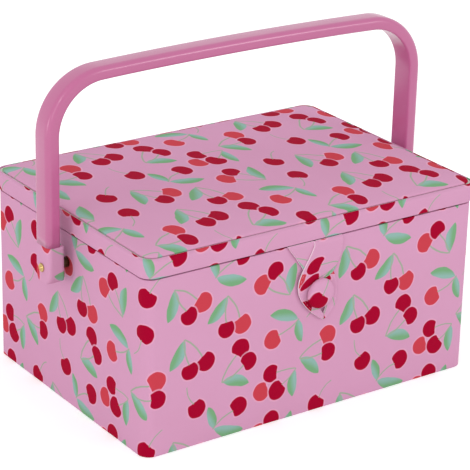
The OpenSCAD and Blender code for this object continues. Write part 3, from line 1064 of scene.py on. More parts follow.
def sleeve(
    name: str,
    outline: RoundRect,
    profile: Path,
    step: float = STRIDE,
    relief: float = 0.0,
    cloth_start: Spot = (0.0, 0.0),
) -> Piece:
    """Wraps a strip of cloth round an outline.

    Args:
        name: The piece's name.
        outline: The outline that it is wrapped round.
        profile: The strip's section, from its lower edge to its upper one, each point as inset and height.
        step: Longest stride round the outline.
        relief: How far the cloth strays from flat.
        cloth_start: Where on the printed cloth the strip was cut.

    Returns:
        The object, one surface thick.
    """
    stations = outline.walk(step)
    across = lengths_of(profile)

    def place(i: int, j: int) -> Placed:
        """Gives the point at a corner of the section and a station, strayed a little in or out."""
        spot, station = profile[i], stations[j]
        here = outline.at(station, spot.x, spot.y)
        stray = relief * noise.noise(here * 45) + relief * 0.4 * noise.noise(here * 160)
        on_cloth = (cloth_start[0] + station.walked, cloth_start[1] + across[i])
        return outline.at(station, spot.x - stray, spot.y), on_cloth

    return skin(name, len(profile), len(stations) - 1, place, wrap=True)


def lines_across(half: float, insets: Sequence[float], step: float) -> list[float]:
    """Lays out grid lines across a width, from -half to half.

    Args:
        half: Half of the width.
        insets: How far in from each edge the outer lines are.
        step: Widest spacing of the lines inside those.

    Returns:
        Where the lines are, from low to high.
    """
    edge = half - insets[-1]
    count = max(2, math.ceil(2 * edge / step))
    inner = [-edge + 2 * edge * i / count for i in range(1, count)]
    outer = [half - inset for inset in insets]
    return sorted([-x for x in outer] + inner + outer)


def pillow(
    name: str,
    outline: RoundRect,
    insets: Sequence[float],
    top: Curve,
    bottom: Curve,
    step: float = 6 * MM,
    cloth_start: Spot = (0.0, 0.0),
) -> Piece:
    """Makes a closed flat form, such as a pad or a covered card, from two grids that meet at its edge.

    Args:
        name: The piece's name.
        outline: Its outline from above. The corners' radius is at least the last inset.
        insets: Distances in from the edge where the grids have lines, from 0 up.
        top: Height of the upper face for a distance in from the edge.
        bottom: Height of the lower face, which meets the upper one at 0.
        step: Spacing of the lines inside.
        cloth_start: Where on the cloth the piece was cut.

    Returns:
        The object, with its upper face up.
    """
    xs = lines_across(outline.half_x, insets, step)
    ys = lines_across(outline.half_y, insets, step)
    cx, cy, radius = outline.half_x - outline.radius, outline.half_y - outline.radius, outline.radius

    def spot(x: float, y: float) -> tuple[float, float, float]:
        """Moves a grid point into the rounded outline.

        Args:
            x: Its X on the square grid.
            y: Its Y there.

        Returns:
            Its X and Y in the outline, and its distance in from the edge.
        """
        over_x, over_y = abs(x) - cx, abs(y) - cy
        if over_x <= 0 or over_y <= 0:
            return x, y, max(min(outline.half_x - abs(x), outline.half_y - abs(y)), 0.0)
        u, v = over_x / radius, over_y / radius
        round_x, round_y = u * math.sqrt(1 - v * v / 2), v * math.sqrt(1 - u * u / 2)
        inset = radius * (1 - math.hypot(round_x, round_y))
        place = (math.copysign(cx + radius * round_x, x), math.copysign(cy + radius * round_y, y))
        return *place, max(inset, 0.0)

    columns, rows = len(xs), len(ys)
    points, number = [], {}
    for side, height in (("top", top), ("bottom", bottom)):
        for i, y in enumerate(ys):
            for j, x in enumerate(xs):
                edge = i in (0, rows - 1) or j in (0, columns - 1)
                if edge and side == "bottom":
                    number[side, i, j] = number["top", i, j]
                    continue
                px, py, inset = spot(x, y)
                number[side, i, j] = len(points)
                points.append((px + outline.centre.x, py + outline.centre.y, height(0.0 if edge else inset)))
    faces, corners = [], []
    for side in ("top", "bottom"):
        for i in range(rows - 1):
            for j in range(columns - 1):
                square = [(i, j), (i, j + 1), (i + 1, j + 1), (i + 1, j)]
                if side == "bottom":
                    square.reverse()
                face = [number[side, a, b] for a, b in square]
                faces.append(face)
                corners += [(points[n][0] + cloth_start[0], points[n][1] + cloth_start[1]) for n in face]
    return new_mesh(name, points, faces, corners)


def lathe(name: str, profile: Sequence[Spot], place: Matrix, sides: int, ripple: float = 0.0) -> Piece:
    """Turns a profile round an axis.

    Args:
        name: The piece's name.
        profile: Radius and height along the axis, from the bottom's middle to the top's middle.
        place: Takes the axis from Z, and the base from the origin, to where the piece goes.
        sides: How many sides the turned form has.
        ripple: Depth of the pleats that gathered cloth makes at the rim.

    Returns:
        The object, with its cloth map laid flat across the axis.
    """
    widest = max(radius for radius, _ in profile)

    def turned(i: int, j: int) -> Placed:
        """Gives the point of the profile at a side, drawn in by the pleats."""
        radius, height = profile[i]
        angle = math.tau * j / sides
        pleat = ripple * math.cos(angle * sides / 3) * (radius / widest) ** 6
        r = max(radius - abs(pleat), 0.0)
        flat = (r * math.cos(angle), r * math.sin(angle))
        return place @ Vector((*flat, height)), flat

    return weld(skin(name, len(profile), sides, turned, wrap=True))


def inflate(piece: Piece, held: Callable[[Vector], bool], pressure: float, cap: float) -> None:
    """Lets a closed cloth swell under the stuffing's pressure, by simulation, and keeps the shape it takes.

    Args:
        piece: The closed cloth.
        held: Says of a point at rest whether it is sewn or glued down.
        pressure: The stuffing's pressure.
        cap: How far any point may move.
    """
    frames = 20
    scene = bpy.context.scene
    start = np.array([v.co for v in piece.data.vertices])
    fixed = piece.vertex_groups.new(name="held")
    fixed.add([v.index for v in piece.data.vertices if held(v.co)], 1.0, "REPLACE")
    cloth = piece.modifiers.new("swelling", "CLOTH")
    behaviour = {
        "quality": 6,
        "mass": 0.15,
        "tension_stiffness": 12,
        "compression_stiffness": 12,
        "bending_stiffness": 0.4,
        "air_damping": 4,
        "use_pressure": True,
        "uniform_pressure_force": pressure,
        "vertex_group_mass": fixed.name,
    }
    for setting, value in behaviour.items():
        setattr(cloth.settings, setting, value)
    cloth.settings.effector_weights.gravity = 0
    cloth.collision_settings.use_collision = False
    cloth.point_cache.frame_start = 1
    cloth.point_cache.frame_end = frames
    for step in range(1, frames + 1):
        scene.frame_set(step)
    swollen = piece.evaluated_get(bpy.context.evaluated_depsgraph_get()).to_mesh()
    moved = np.array([v.co for v in swollen.vertices]) - start
    piece.modifiers.remove(cloth)
    reach = np.linalg.norm(moved, axis=1, keepdims=True)
    kept = start + moved * np.minimum(1, cap / np.maximum(reach, 1e-9))
    piece.data.vertices.foreach_set("co", kept.ravel())
    piece.data.update()
    scene.frame_set(1)


def stitches(name: str, lines: Sequence[Path], length: float, gap: float, radius: float) -> Piece:
    """Sews a row of short raised stitches along each line.

    Args:
        name: The piece's name.
        lines: The seams, each as points close together.
        length: Length of a stitch.
        gap: Gap between two stitches.
        radius: Radius of the thread.

    Returns:
        All the stitches as one piece.
    """
    points, faces = [], []
    rings = ((0.0, 0.35), (0.15, 1.0), (0.5, 1.15), (0.85, 1.0), (1.0, 0.35))
    sides = 6
    for seam in lines:
        run, track = lengths_of(seam), np.array(seam)
        for begin in np.arange(gap, run[-1] - length, length + gap):
            both = (begin, begin + length)
            start, end = (Vector([np.interp(at, run, line) for line in track.T]) for at in both)
            along = (end - start).normalized()
            side = along.cross(Vector((0, 1, 0))).normalized()
            up = side.cross(along)
            first = len(points)
            for share, thick in rings:
                for k in range(sides):
                    angle = math.tau * k / sides
                    off = (side * math.cos(angle) + up * math.sin(angle)) * radius * thick
                    points.append(start.lerp(end, share) + off)
            for ring in range(len(rings) - 1):
                for k in range(sides):
                    a, b = first + ring * sides + k, first + ring * sides + (k + 1) % sides
                    faces.append((a, b, b + sides, a + sides))
            faces.append(tuple(first + k for k in reversed(range(sides))))
            faces.append(tuple(first + (len(rings) - 1) * sides + k for k in range(sides)))
    corners = [(points[n][0], points[n][2]) for face in faces for n in face]
    return new_mesh(name, points, faces, corners)


# ---------- The box ----------


@dataclass(frozen=True)
class BoxShell:
    """Boards wrapped in one strip of printed cloth, with a paper under the base."""

    cloth: float = 0.55 * MM
    edge_round: float = 0.4 * MM
    corner: float = 8 * MM
    rim_drop: float = 0.5 * MM
    base_lift: float = 0.1 * MM
    hem_under: float = 14 * MM
    hem_inside: float = 16 * MM
    hem_proud: float = 0.7 * MM
    relief: float = 0.16 * MM

    def build(self) -> None:
        """Makes the cover and dresses the boards inside it."""
        size = Extent.of("box_cover")
        wall = size.half.y - Extent.of("rear_board").low.y + self.hem_proud
        rim = size.high.z - self.rim_drop
        outline = RoundRect(size.half.x, size.half.y, self.corner)
        path = route(
            (self.hem_under, self.base_lift),
            (0.0, self.base_lift),
            (0.0, rim),
            (wall, rim),
            (wall, rim - self.hem_inside),
        )
        profile = spaced(soften(path, self.edge_round), STRIDE)
        cover = weld(sleeve("box_printed_cover", outline, profile, relief=self.relief))
        thicken(cover, self.cloth)
        finish_with(cover, COTTON, "print_cotton")
        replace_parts(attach(cover, "box"), "box_cover")
        round_it = outline.walk(STRIDE)[-1].walked
        lengths_of(profile)[-1]
        dress_nodes(GREYBOARD, "front_board", "rear_board", "left_board", "right_board", "base_board")
        dress_nodes(BASE_PAPER, "base_cover")
        LOG.info("box shell: cover %.0f mm round", round_it / MM)


@dataclass(frozen=True)
class CardLining:
    """Cards covered in satin over thin wadding, one on each inner face of the box and one in the lid."""

    rounding: float = 0.9 * MM
    edge_share: float = 0.82
    puff: float = 0.35 * MM
    puff_reach: float = 18 * MM
    corner: float = 2.5 * MM

    def build(self) -> None:
        """Makes the six covered cards."""
        for node, out in {
            "front_lining": Vector((0, 1, 0)),
            "rear_lining": Vector((0, -1, 0)),
            "left_lining": Vector((1, 0, 0)),
            "right_lining": Vector((-1, 0, 0)),
            "base_lining": Vector((0, 0, 1)),
            "lid_lining": Vector((0, 0, -1)),
        }.items():
            self.card(node, out)

    def card(self, node: str, out: Vector) -> None:
        """Makes one covered card in place of a CAD node.

        Args:
            node: The card's node.
            out: The way its covered face looks.
        """
        size = Extent.of(node)
        upright = abs(out.z) < 0.5
        along = Vector((0, 0, 1)).cross(out) if upright else Vector((1, 0, 0))
        up = out.cross(along)
        half = [abs(axis.dot(size.half)) for axis in (along, up, out)]
        place = Matrix((along, up, out)).transposed().to_4x4()
        place.translation = size.middle
        thick = half[2]

        def face(inset: float) -> float:
            """Height of the covered face, rounded at the card's edge and puffed up inside."""
            swell = min(inset / self.puff_reach, 1.0)
            edge = 2 * thick * rounded(inset, self.rounding) * self.edge_share
            return -thick + edge + self.puff * swell * (2 - swell)

        insets = [0, 0.12 * MM, 0.4 * MM, 0.9 * MM, self.corner, 6 * MM, 12 * MM, 20 * MM]
        outline = RoundRect(half[0], half[1], self.corner)
        card = pillow(f"{node}_satin", outline, insets, face, lambda inset: -thick, step=12 * MM)
        card.data.transform(place)
        body = "lid" if node == "lid_lining" else "box"
        finish_with(card, SATIN, "satin")
        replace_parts(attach(card, body), node)
        LOG.info("lining: %s", node)


@dataclass(frozen=True)
class ClothHinge:
    """Printed tape outside and a satin strip inside, each one length of cloth across the hinge line."""

    tape: float = 0.55 * MM
    strip: float = 0.35 * MM
    tape_round: float = 0.9 * MM
    strip_round: float = 0.7 * MM
    tape_from: float = 1.2 * MM
    tape_to: float = 1.0 * MM
    strip_from: float = 0.1 * MM
    strip_to: float = 0.6 * MM

    def build(self) -> None:
        """Makes the tape and the strip, each shaped with a bend across the hinge line from the box up to the
        lid.
        """
        self.make_tape()
        self.make_strip()

    def make_tape(self) -> None:
        """Makes the printed tape on the back."""
        low, high = Extent.of("hinge_tape_box"), Extent.of("hinge_tape_lid")
        turn_z = (low.high.z + high.low.z) / 2
        path = route(
            (low.high.y, low.low.z),
            (low.high.y, turn_z - self.tape_from),
            (high.high.y, turn_z + self.tape_to),
            (high.high.y, high.high.z),
        )
        section = soften(path, self.tape_round, 6)
        tape = self.strip_of("hinge_printed_tape", section, low.half.x, self.tape, out=1)
        finish_with(tape, COTTON, "print_cotton")
        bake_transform(tape)
        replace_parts(tape, "hinge_tape_box", "hinge_tape_lid")

    def make_strip(self) -> None:
        """Makes the satin strip inside."""
        low, high = Extent.of("hinge_strip_box"), Extent.of("hinge_strip_lid")
        path = route(
            (low.low.y, low.low.z),
            (low.low.y, low.high.z + self.strip_from),
            (high.low.y, low.high.z + self.strip_to),
            (high.low.y, high.high.z),
        )
        section = soften(path, self.strip_round, 8)
        strip = self.strip_of("hinge_satin_strip", section, low.half.x, self.strip, out=-1)
        finish_with(strip, SATIN, "satin")
        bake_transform(strip)
        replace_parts(strip, "hinge_strip_box", "hinge_strip_lid")

    @staticmethod
    def strip_of(name: str, path: Path, half: float, thickness: float, out: int) -> Piece:
        """Makes a strip along X with a section in Y and Z.

        Args:
            name: The piece's name.
            path: The section's visible side, from below up, each point as Y and Z.
            half: Half of the strip's length.
            thickness: The cloth's thickness.
            out: 1 if the visible side looks back, and -1 if it looks forward.

        Returns:
            The strip.
        """
        columns = 49
        filled = spaced(path, 3 * MM)
        across = lengths_of(filled)
        xs = np.linspace(half, -half, columns) * out

        def place(i: int, j: int) -> Placed:
            """Gives the point at a corner of the section and a place along the strip."""
            return (xs[j], filled[i].x, filled[i].y), (-xs[j] * out, across[i])

        return thicken(skin(name, len(filled), columns, place), thickness)


@dataclass(frozen=True)
class Lid:
    """Railed board with a printed band, a foam pad under printed cloth, and a thin seam between the two."""

    cloth: float = 0.55 * MM
    edge_round: float = 0.35 * MM
    corner: float = 8.7 * MM
    relief: float = 0.12 * MM
    edge_lift: float = 0.35 * MM
    hem_proud: float = 0.12 * MM
    tuck: float = 0.15 * MM
    lip: float = 0.15 * MM
    undercut: float = 1.5 * MM
    step: float = 0.2
    rise: float = 1.2 * MM
    doming: float = 14.0 * MM
    glued: float = 3.0 * MM
    swell: float = 0.8 * MM
    fold: float = 0.3 * MM
    seam_wide: float = 1.3 * MM
    pad_corner: float = 8.5 * MM
    seam_deep: float = 2.4 * MM
    print_deep: float = 1.2
    band_cut: Spot = (0.31, 0.43)
    top_cut: Spot = (0.017, 0.021)
    pressure: float = 2.0
    foam_inside: float = 3.5 * MM
    foam_corner: float = 12 * MM
    foam_round: float = 3 * MM
    foam_edge: float = 0.4
    foam_rise: float = 0.42

    def build(self) -> None:
        """Makes the band, the padded top and its foam, and dresses the boards."""
        self.make_band()
        self.make_top()
        self.make_foam()
        rails = [f"lid_{side}_rail" for side in ("front", "rear", "left", "right")]
        dress_nodes(GREYBOARD, "lid_board", *rails)

    def make_band(self) -> None:
        """Makes the strip round the lid's sides, from inside the rails, under them and up into the seam."""
        size = Extent.of("lid_band_cover")
        rail = size.half.y - Extent.of("lid_rear_rail").low.y
        edge = size.low.z + self.edge_lift
        outline = RoundRect(size.half.x, size.half.y, self.corner)
        hem = rail + self.hem_proud
        path = route(
            (hem, Extent.of("lid_lining").low.z),
            (hem, edge + 0.1 * MM),
            (0.0, edge),
            (0.0, size.high.z),
            (self.fold * 2, size.high.z),
            (self.fold * 2, size.high.z - self.seam_deep),
        )
        profile = spaced([*soften(path[:4], self.edge_round), *soften(path[3:], self.fold)[1:]], 5 * MM)
        band = sleeve("lid_printed_band", outline, profile, relief=self.relief, cloth_start=self.band_cut)
        thicken(weld(band), self.cloth)
        finish_with(band, COTTON, "print_cotton")
        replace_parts(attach(band, "lid"), "lid_band_cover")
        round_it = outline.walk(STRIDE)[-1].walked
        lengths_of(profile)[-1]
        LOG.info("lid band: %.0f mm round", round_it / MM)

    def make_top(self) -> None:
        """Makes the padded top: cloth over foam, tucked into the seam and swollen by simulation."""
        size, band = Extent.of("lid_top_cover"), Extent.of("lid_band_cover")
        seam = band.high.z - self.seam_deep
        inside = 2 * self.fold + self.seam_wide

        def above(inset: float) -> float:
            """Height of the pad's upper face: a thin lip over the seam, a small step, then a gentle dome."""
            if inset < self.tuck:
                return band.high.z - self.lip * (1 - inset / self.tuck)
            inner = min(inset / self.doming, 1.0)
            share = self.step * rounded(inset - self.tuck, self.rise) + (1 - self.step) * inner * (2 - inner)
            return band.high.z + (size.high.z - band.high.z) * share

        def below(inset: float) -> float:
            """Height of the pad's lower face, which runs in under the lip to the bottom of the seam."""
            return seam + (self.seam_deep - self.lip) * max(0.0, 1 - inset / self.undercut)

        insets = [d * MM for d in (0, 0.15, 0.3, 0.6, 1.0, 1.6, 2.6, 4.0, 6.0, 8.5)]
        outline = RoundRect(band.half.x - inside, band.half.y - inside, self.pad_corner)
        top = pillow("lid_padded_top", outline, insets, above, below, step=5 * MM, cloth_start=self.top_cut)
        recut(top, longer=self.print_deep)

        def held(p: Vector) -> bool:
            """Says whether a point lies underneath or on the roll at the edge, where the cloth is glued."""
            inset = min(outline.half_x - abs(p.x), outline.half_y - abs(p.y))
            return p.z < seam + 0.5 * MM or inset < self.glued

        inflate(top, held, self.pressure, cap=self.swell)
        finish_with(top, COTTON, "print_cotton")
        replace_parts(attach(top, "lid"), "lid_top_cover")
        LOG.info("lid top: %.0f by %.0f mm", 2 * outline.half_x / MM, 2 * outline.half_y / MM)

    def make_foam(self) -> None:
        """Makes the foam under the cloth, a little smaller than the pad all round."""
        size = Extent.of("lid_padding")
        inside = self.foam_inside
        outline = RoundRect(size.half.x - inside, size.half.y - inside, self.foam_corner)

        def upper(inset: float) -> float:
            """Height of the foam's upper face, cut square and crushed round at its edge."""
            share = self.foam_edge + self.foam_rise * rounded(inset, self.foam_round)
            return size.low.z + (size.high.z - size.low.z) * share

        insets = [0, 0.3 * MM, 1 * MM, self.foam_round, self.foam_corner]
        foam = pillow("lid_foam_sheet", outline, insets, upper, lambda inset: size.low.z, step=25 * MM)
        finish_with(foam, FOAM, "foam")
        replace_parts(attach(foam, "lid"), "lid_padding")


# ---------- Closure ----------


@dataclass(frozen=True)
class Closure:
    """Covered button on the front, and a stitched loop from the lid that crosses over itself round it.

    The strands are pairs of edge points in millimetres from the button's centre, seen from the front.
    """

    front_strand: tuple = (
        ((-4.4, 35.9), (18.1, 35.9)),
        ((-5.6, 31.6), (18.3, 31.0)),
        ((-8.6, 25.7), (17.6, 25.0)),
        ((-12.3, 19.5), (15.3, 19.6)),
        ((-15.0, 14.2), (11.3, 12.6)),
        ((-16.4, 9.0), (5.5, 9.2)),
        ((-16.4, 4.4), (-3.4, 8.2)),
        ((-15.3, 0.2), (-8.0, 2.2)),
        ((-12.4, -5.2), (-7.2, -3.2)),
        ((-6.8, -11.8), (-2.6, -8.6)),
        ((0.6, -18.0), (2.8, -13.6)),
        ((4.7, -20.5), (4.7, -16.2)),
    )
    rear_strand: tuple = (
        ((-25.1, 35.9), (-3.0, 35.9)),
        ((-22.6, 32.2), (-0.6, 31.4)),
        ((-19.1, 27.6), (2.8, 26.2)),
        ((-15.0, 21.6), (7.0, 20.0)),
        ((-10.0, 15.2), (11.0, 13.6)),
        ((-3.0, 10.6), (13.8, 7.4)),
        ((4.6, 7.6), (15.1, 1.6)),
        ((7.9, 1.6), (15.2, -4.4)),
        ((7.5, -4.2), (14.4, -10.4)),
        ((6.6, -9.6), (11.4, -15.6)),
        ((5.6, -13.6), (7.4, -19.2)),
        ((4.8, -16.2), (4.8, -20.5)),
    )
    thickness: float = 0.95 * MM
    edge_swell: float = 0.3 * MM
    fold_shown: float = 0.3 * MM
    fold_round: float = 0.5 * MM
    swell_at: float = 1.1 * MM
    stitch_inset: float = 1.6 * MM
    stitch_long: float = 2.2 * MM
    stitch_gap: float = 1.0 * MM
    thread: float = 0.12 * MM
    front_depth: float = 0.3 * MM
    rear_depth: float = 0.85 * MM
    seam_depth: float = 0.25 * MM
    top_gap: float = 0.05 * MM
    drop: float = 3.2 * MM
    ring_reach: float = 16 * MM
    ring_blend: float = 12 * MM
    dome: float = 3.2 * MM
    pleat: float = 0.12 * MM
    button_cut: Spot = (0.0522, 0.0212)
    front_cut: Spot = (0.0165, 0.067)
    rear_cut: Spot = (0.081, 0.031)

    def build(self) -> None:
        """Makes the button and the loop, and dresses the shank and the washer."""
        self.make_button()
        self.make_loop()
        dress_nodes(STEEL, "button_shank", "button_washer")

    def make_button(self) -> None:
        """Makes the covered button: cloth drawn over a domed shell and gathered behind its rim."""
        size = Extent.of("button_cap")
        radius, depth = size.half.x, 2 * size.half.y
        shoulder = (depth - self.dome) * 0.62
        profile = [(0.0, 0.0), (radius * 0.7, 0.0), (radius * 0.94, 0.25 * MM), (radius * 0.995, 0.8 * MM)]
        for i in range(9):
            angle = math.radians(10 * i)
            height = shoulder + (depth - shoulder) * math.sin(angle)
            profile.append((radius * math.cos(angle) ** 0.8, height))
        profile.append((0.0, depth))
        place = Matrix.Translation((size.middle.x, size.high.y, size.middle.z))
        place @= Matrix.Rotation(math.pi / 2, 4, "X")
        button = lathe("covered_button", profile, place, sides=72, ripple=self.pleat)
        recut(button, self.button_cut)
        finish_with(button, COTTON, "print_cotton")
        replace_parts(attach(button, "box"), "button_cap")
        LOG.info("button: %.0f mm across", 2 * radius / MM)

    def make_loop(self) -> None:
        """Makes the loop's two strands and their stitches, which hang from the lid's lower edge."""
        size, lid, cap = Extent.of("closure_loop"), Extent.of("lid_band_cover"), Extent.of("button_cap")
        centre = Vector((cap.middle.x, 0.0, cap.middle.z))
        front_y, rear_y = size.low.y + self.front_depth, size.high.y - self.rear_depth
        ring_y = (front_y + rear_y) / 2
        top = lid.low.z - self.top_gap
        rows = 61
        seams, strands = [], []
        for layer, pairs, layer_y, cut in (
            ("front", self.front_strand, front_y, self.front_cut),
            ("rear", self.rear_strand, rear_y, self.rear_cut),
        ):
            left, right = (
                through([Vector((x, 0, z)) * MM + centre for x, z in edge], rows) for edge in zip(*pairs)
            )

            def depth(z: float, y: float = layer_y) -> float:
                """Y of the strand's middle, from the lid's seam down its own layer to the button."""
                below = max(0.0, min((lid.low.z - z) / self.drop, 1.0))
                ring = max(0.0, min((centre.z + self.ring_reach - z) / self.ring_blend, 1.0))
                out = (lid.low.y + self.seam_depth) * (1 - below) ** 2 + y * (1 - (1 - below) ** 2)
                return out * (1 - ring) + ring_y * ring

            strand, edges = self.strand(f"loop_{layer}_strand", left, right, depth, top, cut)
            strands.append(strand)
            seams += edges
        loop = self.join("closure_loop_band", strands)
        sewn = stitches("loop_topstitching", seams, self.stitch_long, self.stitch_gap, self.thread)
        finish_with(sewn, THREAD, "print_cotton")
        for piece in (loop, sewn):
            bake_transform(piece)
        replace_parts(loop, "closure_loop")
        LOG.info("loop: %d stitch rows", len(seams))

    def strand(
        self, name: str, left: Path, right: Path, depth: Curve, top: float, cut: Spot
    ) -> tuple[Piece, list[Path]]:
        """Makes one strand of folded cloth between two edges.

        Args:
            name: The piece's name.
            left: Its left edge, from the lid down.
            right: Its right edge, at the same heights.
            depth: Y of its middle, from the height.
            top: Height that no point passes.
            cut: Where on the printed cloth the strand's upper end was cut.

        Returns:
            The strand, and its two rows of stitches.
        """
        across = 12
        order = [(k, -1) for k in range(across + 1)] + [(k, 1) for k in reversed(range(1, across))]
        run = lengths_of([a.lerp(b, 0.5) for a, b in zip(left, right)])
        rungs = list(zip(left, right, run))[::-1]

        def place(i: int, j: int) -> Placed:
            """Gives a point of the flat tube's section: once across its front and back again behind."""
            (a, b, down), (k, side) = rungs[i], order[j % len(order)]
            wide = (b - a).length
            fold = min(self.fold_shown / wide, 0.2)
            wave = (1 - math.cos(math.pi * (k - 1) / (across - 2))) / 2
            share = {0: 0.0, across: 1.0}.get(k, fold + (1 - 2 * fold) * wave)
            near = min(share, 1 - share) * wide
            full = min(near / self.fold_round, 1.0)
            swell = self.edge_swell * math.exp(-((near / self.swell_at - 1) ** 2))
            half = self.thickness / 2 * rounded(full, 1.0) + swell * full
            spot = a.lerp(b, share)
            height = min(spot.z, top)
            on_cloth = (cut[0] + (share - 0.5) * wide, cut[1] - down)
            return (spot.x, depth(height) + side * half, height), on_cloth

        made = skin(name, len(rungs), len(order), place, wrap=True)
        narrowest = 2.6 * self.stitch_inset  # where the two rows of stitches would come too close
        seams: list[Path] = [[], []]
        for a, b, _ in rungs:
            wide = (b - a).length
            if wide > narrowest:
                for seam, share in zip(seams, (self.stitch_inset / wide, 1 - self.stitch_inset / wide)):
                    spot = a.lerp(b, share)
                    proud = depth(spot.z) - self.thickness / 2 - self.thread
                    seam.append(Vector((spot.x, proud, min(spot.z, top))))
        # The faces along both folded edges get the pale finish, a painted highlight along the folds.
        made.data.materials.append(COTTON.material())
        made.data.materials.append(PAINTED_FOLD_HIGHLIGHT.material())
        for face in made.data.polygons:
            column = face.index % len(order)
            face.material_index = int(column in (0, across - 1, across, len(order) - 1))
        return made, [s for s in seams if len(s) > 2]

    @staticmethod
    def join(name: str, pieces: Sequence[Piece]) -> Piece:
        """Joins pieces that are sewn together into one.

        Args:
            name: The new piece's name.
            pieces: Open tubes of cloth, which the new piece takes the place of.

        Returns:
            The new piece, closed at its ends.
        """
        bm = bmesh.new()
        for piece in pieces:
            bm.from_mesh(close_ends(piece).data)
            bpy.data.objects.remove(piece)
        mesh = bpy.data.meshes.new(name)
        bm.to_mesh(mesh)
        bm.free()
        # The second material is the painted highlight on the folded edges.
        for finish in (COTTON, PAINTED_FOLD_HIGHLIGHT):
            mesh.materials.append(finish.material())
        return put_in_scene(name, mesh)


# ---------- Handle ----------


@dataclass(frozen=True)
class Handle:
    """Moulded bail with cloth-covered tabs in its ends, turning on domed pins with spacers behind them."""

    bar_thick: float = 8.6 * MM
    bend_radius: float = 38 * MM
    outer_round: float = 3.7 * MM
    inner_round: float = 1.5 * MM
    grip_slim: float = 0.1 * MM
    grip_crown: float = 1.7 * MM
    leg_swell: float = 0.7 * MM
    leg_wide: float = 0.4 * MM
    tab_edge: float = 3 * MM
    tab_foot: float = 5.5 * MM
    tab_full: float = 2.0 * MM
    tab_proud: float = 0.2 * MM
    tab_stride: float = 2.5 * MM
    tab_relief: float = 0.1 * MM
    tongue_gap: float = 0.1 * MM
    tongue_inset: float = 4.2 * MM
    flare: float = 0.8 * MM
    flare_up: float = 9 * MM
    pin_radius: float = 1.6 * MM
    pin_head: float = 1.5 * MM
    spacer_slim: float = 1.5 * MM
    spacer_gap: float = 0.15 * MM
    spacer_round: float = 0.3 * MM
    cloth_round: float = 1.1 * MM
    tab_cut: Spot = (-0.016, -0.0253)

    def build(self) -> None:
        """Makes the bar and the two tabs, and dresses the pins."""
        self.make_bar()
        dress_nodes(STEEL, "pin_washers")
        for side, out in (("left", -1), ("right", 1)):
            self.make_tab(side)
            self.make_pivot(side, out)

    def make_pivot(self, side: str, out: int) -> None:
        """Makes one pin, its head a ring round a dome as a tubular rivet's is, and the spacer on it.

        Args:
            side: left or right.
            out: 1 or -1, which way along X the head looks.
        """
        pins, spacers, tab = Extent.of("pivot_pins"), Extent.of("pin_spacers"), Extent.of("left_handle_tab")
        radius, spacer_radius = pins.half.y, spacers.half.y - self.spacer_slim
        head = pins.high.x - self.pin_head
        inner = Extent.of("right_lining").high.x
        turn = Matrix.Rotation(out * math.pi / 2, 4, "Y")
        centre = Vector((0, pins.middle.y, pins.middle.z))
        profile = [
            (0.0, inner - head),
            (self.pin_radius, inner - head),
            (self.pin_radius, 0.0),
            (radius * 0.94, 0.0),
            (radius, 0.2 * MM),
            (radius * 0.93, 0.75 * MM),
            (radius * 0.78, self.pin_head * 0.72),
            (radius * 0.6, self.pin_head * 0.62),
            (radius * 0.5, self.pin_head * 0.42),
            (radius * 0.4, self.pin_head * 0.6),
            (radius * 0.24, self.pin_head * 0.9),
            (0.0, self.pin_head),
        ]
        place = Matrix.Translation(centre + Vector((out * head, 0, 0))) @ turn
        pin = finish_with(lathe(f"{side}_rivet", profile, place, sides=40), BRASS, "brass")
        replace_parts(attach(pin, "box"), "pivot_pins")
        box_side = Extent.of("box_cover").high.x
        length = abs(tab.high.x) - self.tab_full - box_side - self.spacer_gap
        tube = [
            (self.pin_radius, 0.0),
            (spacer_radius * 0.94, 0.0),
            (spacer_radius, self.spacer_round),
            (spacer_radius, length - self.spacer_round),
            (spacer_radius * 0.94, length),
            (self.pin_radius, length),
            (self.pin_radius, 0.0),
        ]
        place = Matrix.Translation(centre + Vector((out * box_side, 0, 0))) @ turn
        # The spacer's dark finish is painted shade for the gap between the tab and the box.
        spacer = finish_with(lathe(f"{side}_spacer", tube, place, sides=40), BRASS_IN_PAINTED_SHADE, "brass")
        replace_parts(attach(spacer, "box"), "pin_spacers")

    def bar_line(self, size: Extent) -> list[tuple[Vector, Vector, float]]:
        """Lays out the line that the bar follows from its right foot up, across the grip and down.

        Args:
            size: Where the bar lies.

        Returns:
            Places in X and Z, each with the way outwards, and a fullness from 0 at the grip to 1 at the legs.
        """
        span = size.high.x - self.bar_thick / 2
        grip = size.high.z - self.bar_thick / 2 - self.grip_crown * 0.3
        corner = Vector((span - self.bend_radius, grip - self.bend_radius))
        leg = corner.y - size.low.z
        steps, turns = 12, 24
        half = [(Vector((span, size.low.z + leg * k / steps)), Vector((1, 0)), 1.0) for k in range(steps)]
        for k in range(turns + 1):
            angle = math.radians(90 * k / turns)
            out = Vector((math.cos(angle), math.sin(angle)))
            half.append((corner + out * self.bend_radius, out, 1 - 0.8 * k / turns))
        for k in range(1, steps + 1):
            share = k / steps
            crown = self.grip_crown * (1 - (1 - share) ** 2)
            middle = Vector((corner.x * (1 - share), grip + crown))
            half.append((middle, Vector((0, 1)), max(0.0, 0.2 - share)))
        other = [(Vector((-p.x, p.y)), Vector((-o.x, o.y)), full) for p, o, full in reversed(half[:-1])]
        return [*half, *other]

    def make_bar(self) -> None:
        """Makes the moulded bar: slimmer at the grip, fuller down the legs, with soft edges all round."""
        size = Extent.of("handle_bar")
        line = self.bar_line(size)
        run = lengths_of([middle for middle, _, _ in line])
        rows = []
        for middle, out, full in line:
            fuller = full * full * (3 - 2 * full)
            inner = -self.bar_thick / 2 - self.leg_swell * fuller
            outer = self.bar_thick / 2 - self.grip_slim * (1 - fuller)
            ring = self.section(inner, outer, size.half.y + self.leg_wide * fuller)
            rows.append([(middle.x + out.x * a, y, middle.y + out.y * a) for a, y in ring])
        around = lengths_of([Vector(p) for p in [*rows[0], rows[0][0]]])
        sides = len(rows[0])

        def place(i: int, j: int) -> Placed:
            """Gives a point of the section at a place along the bar."""
            return rows[i][j % sides], (around[j], run[i])

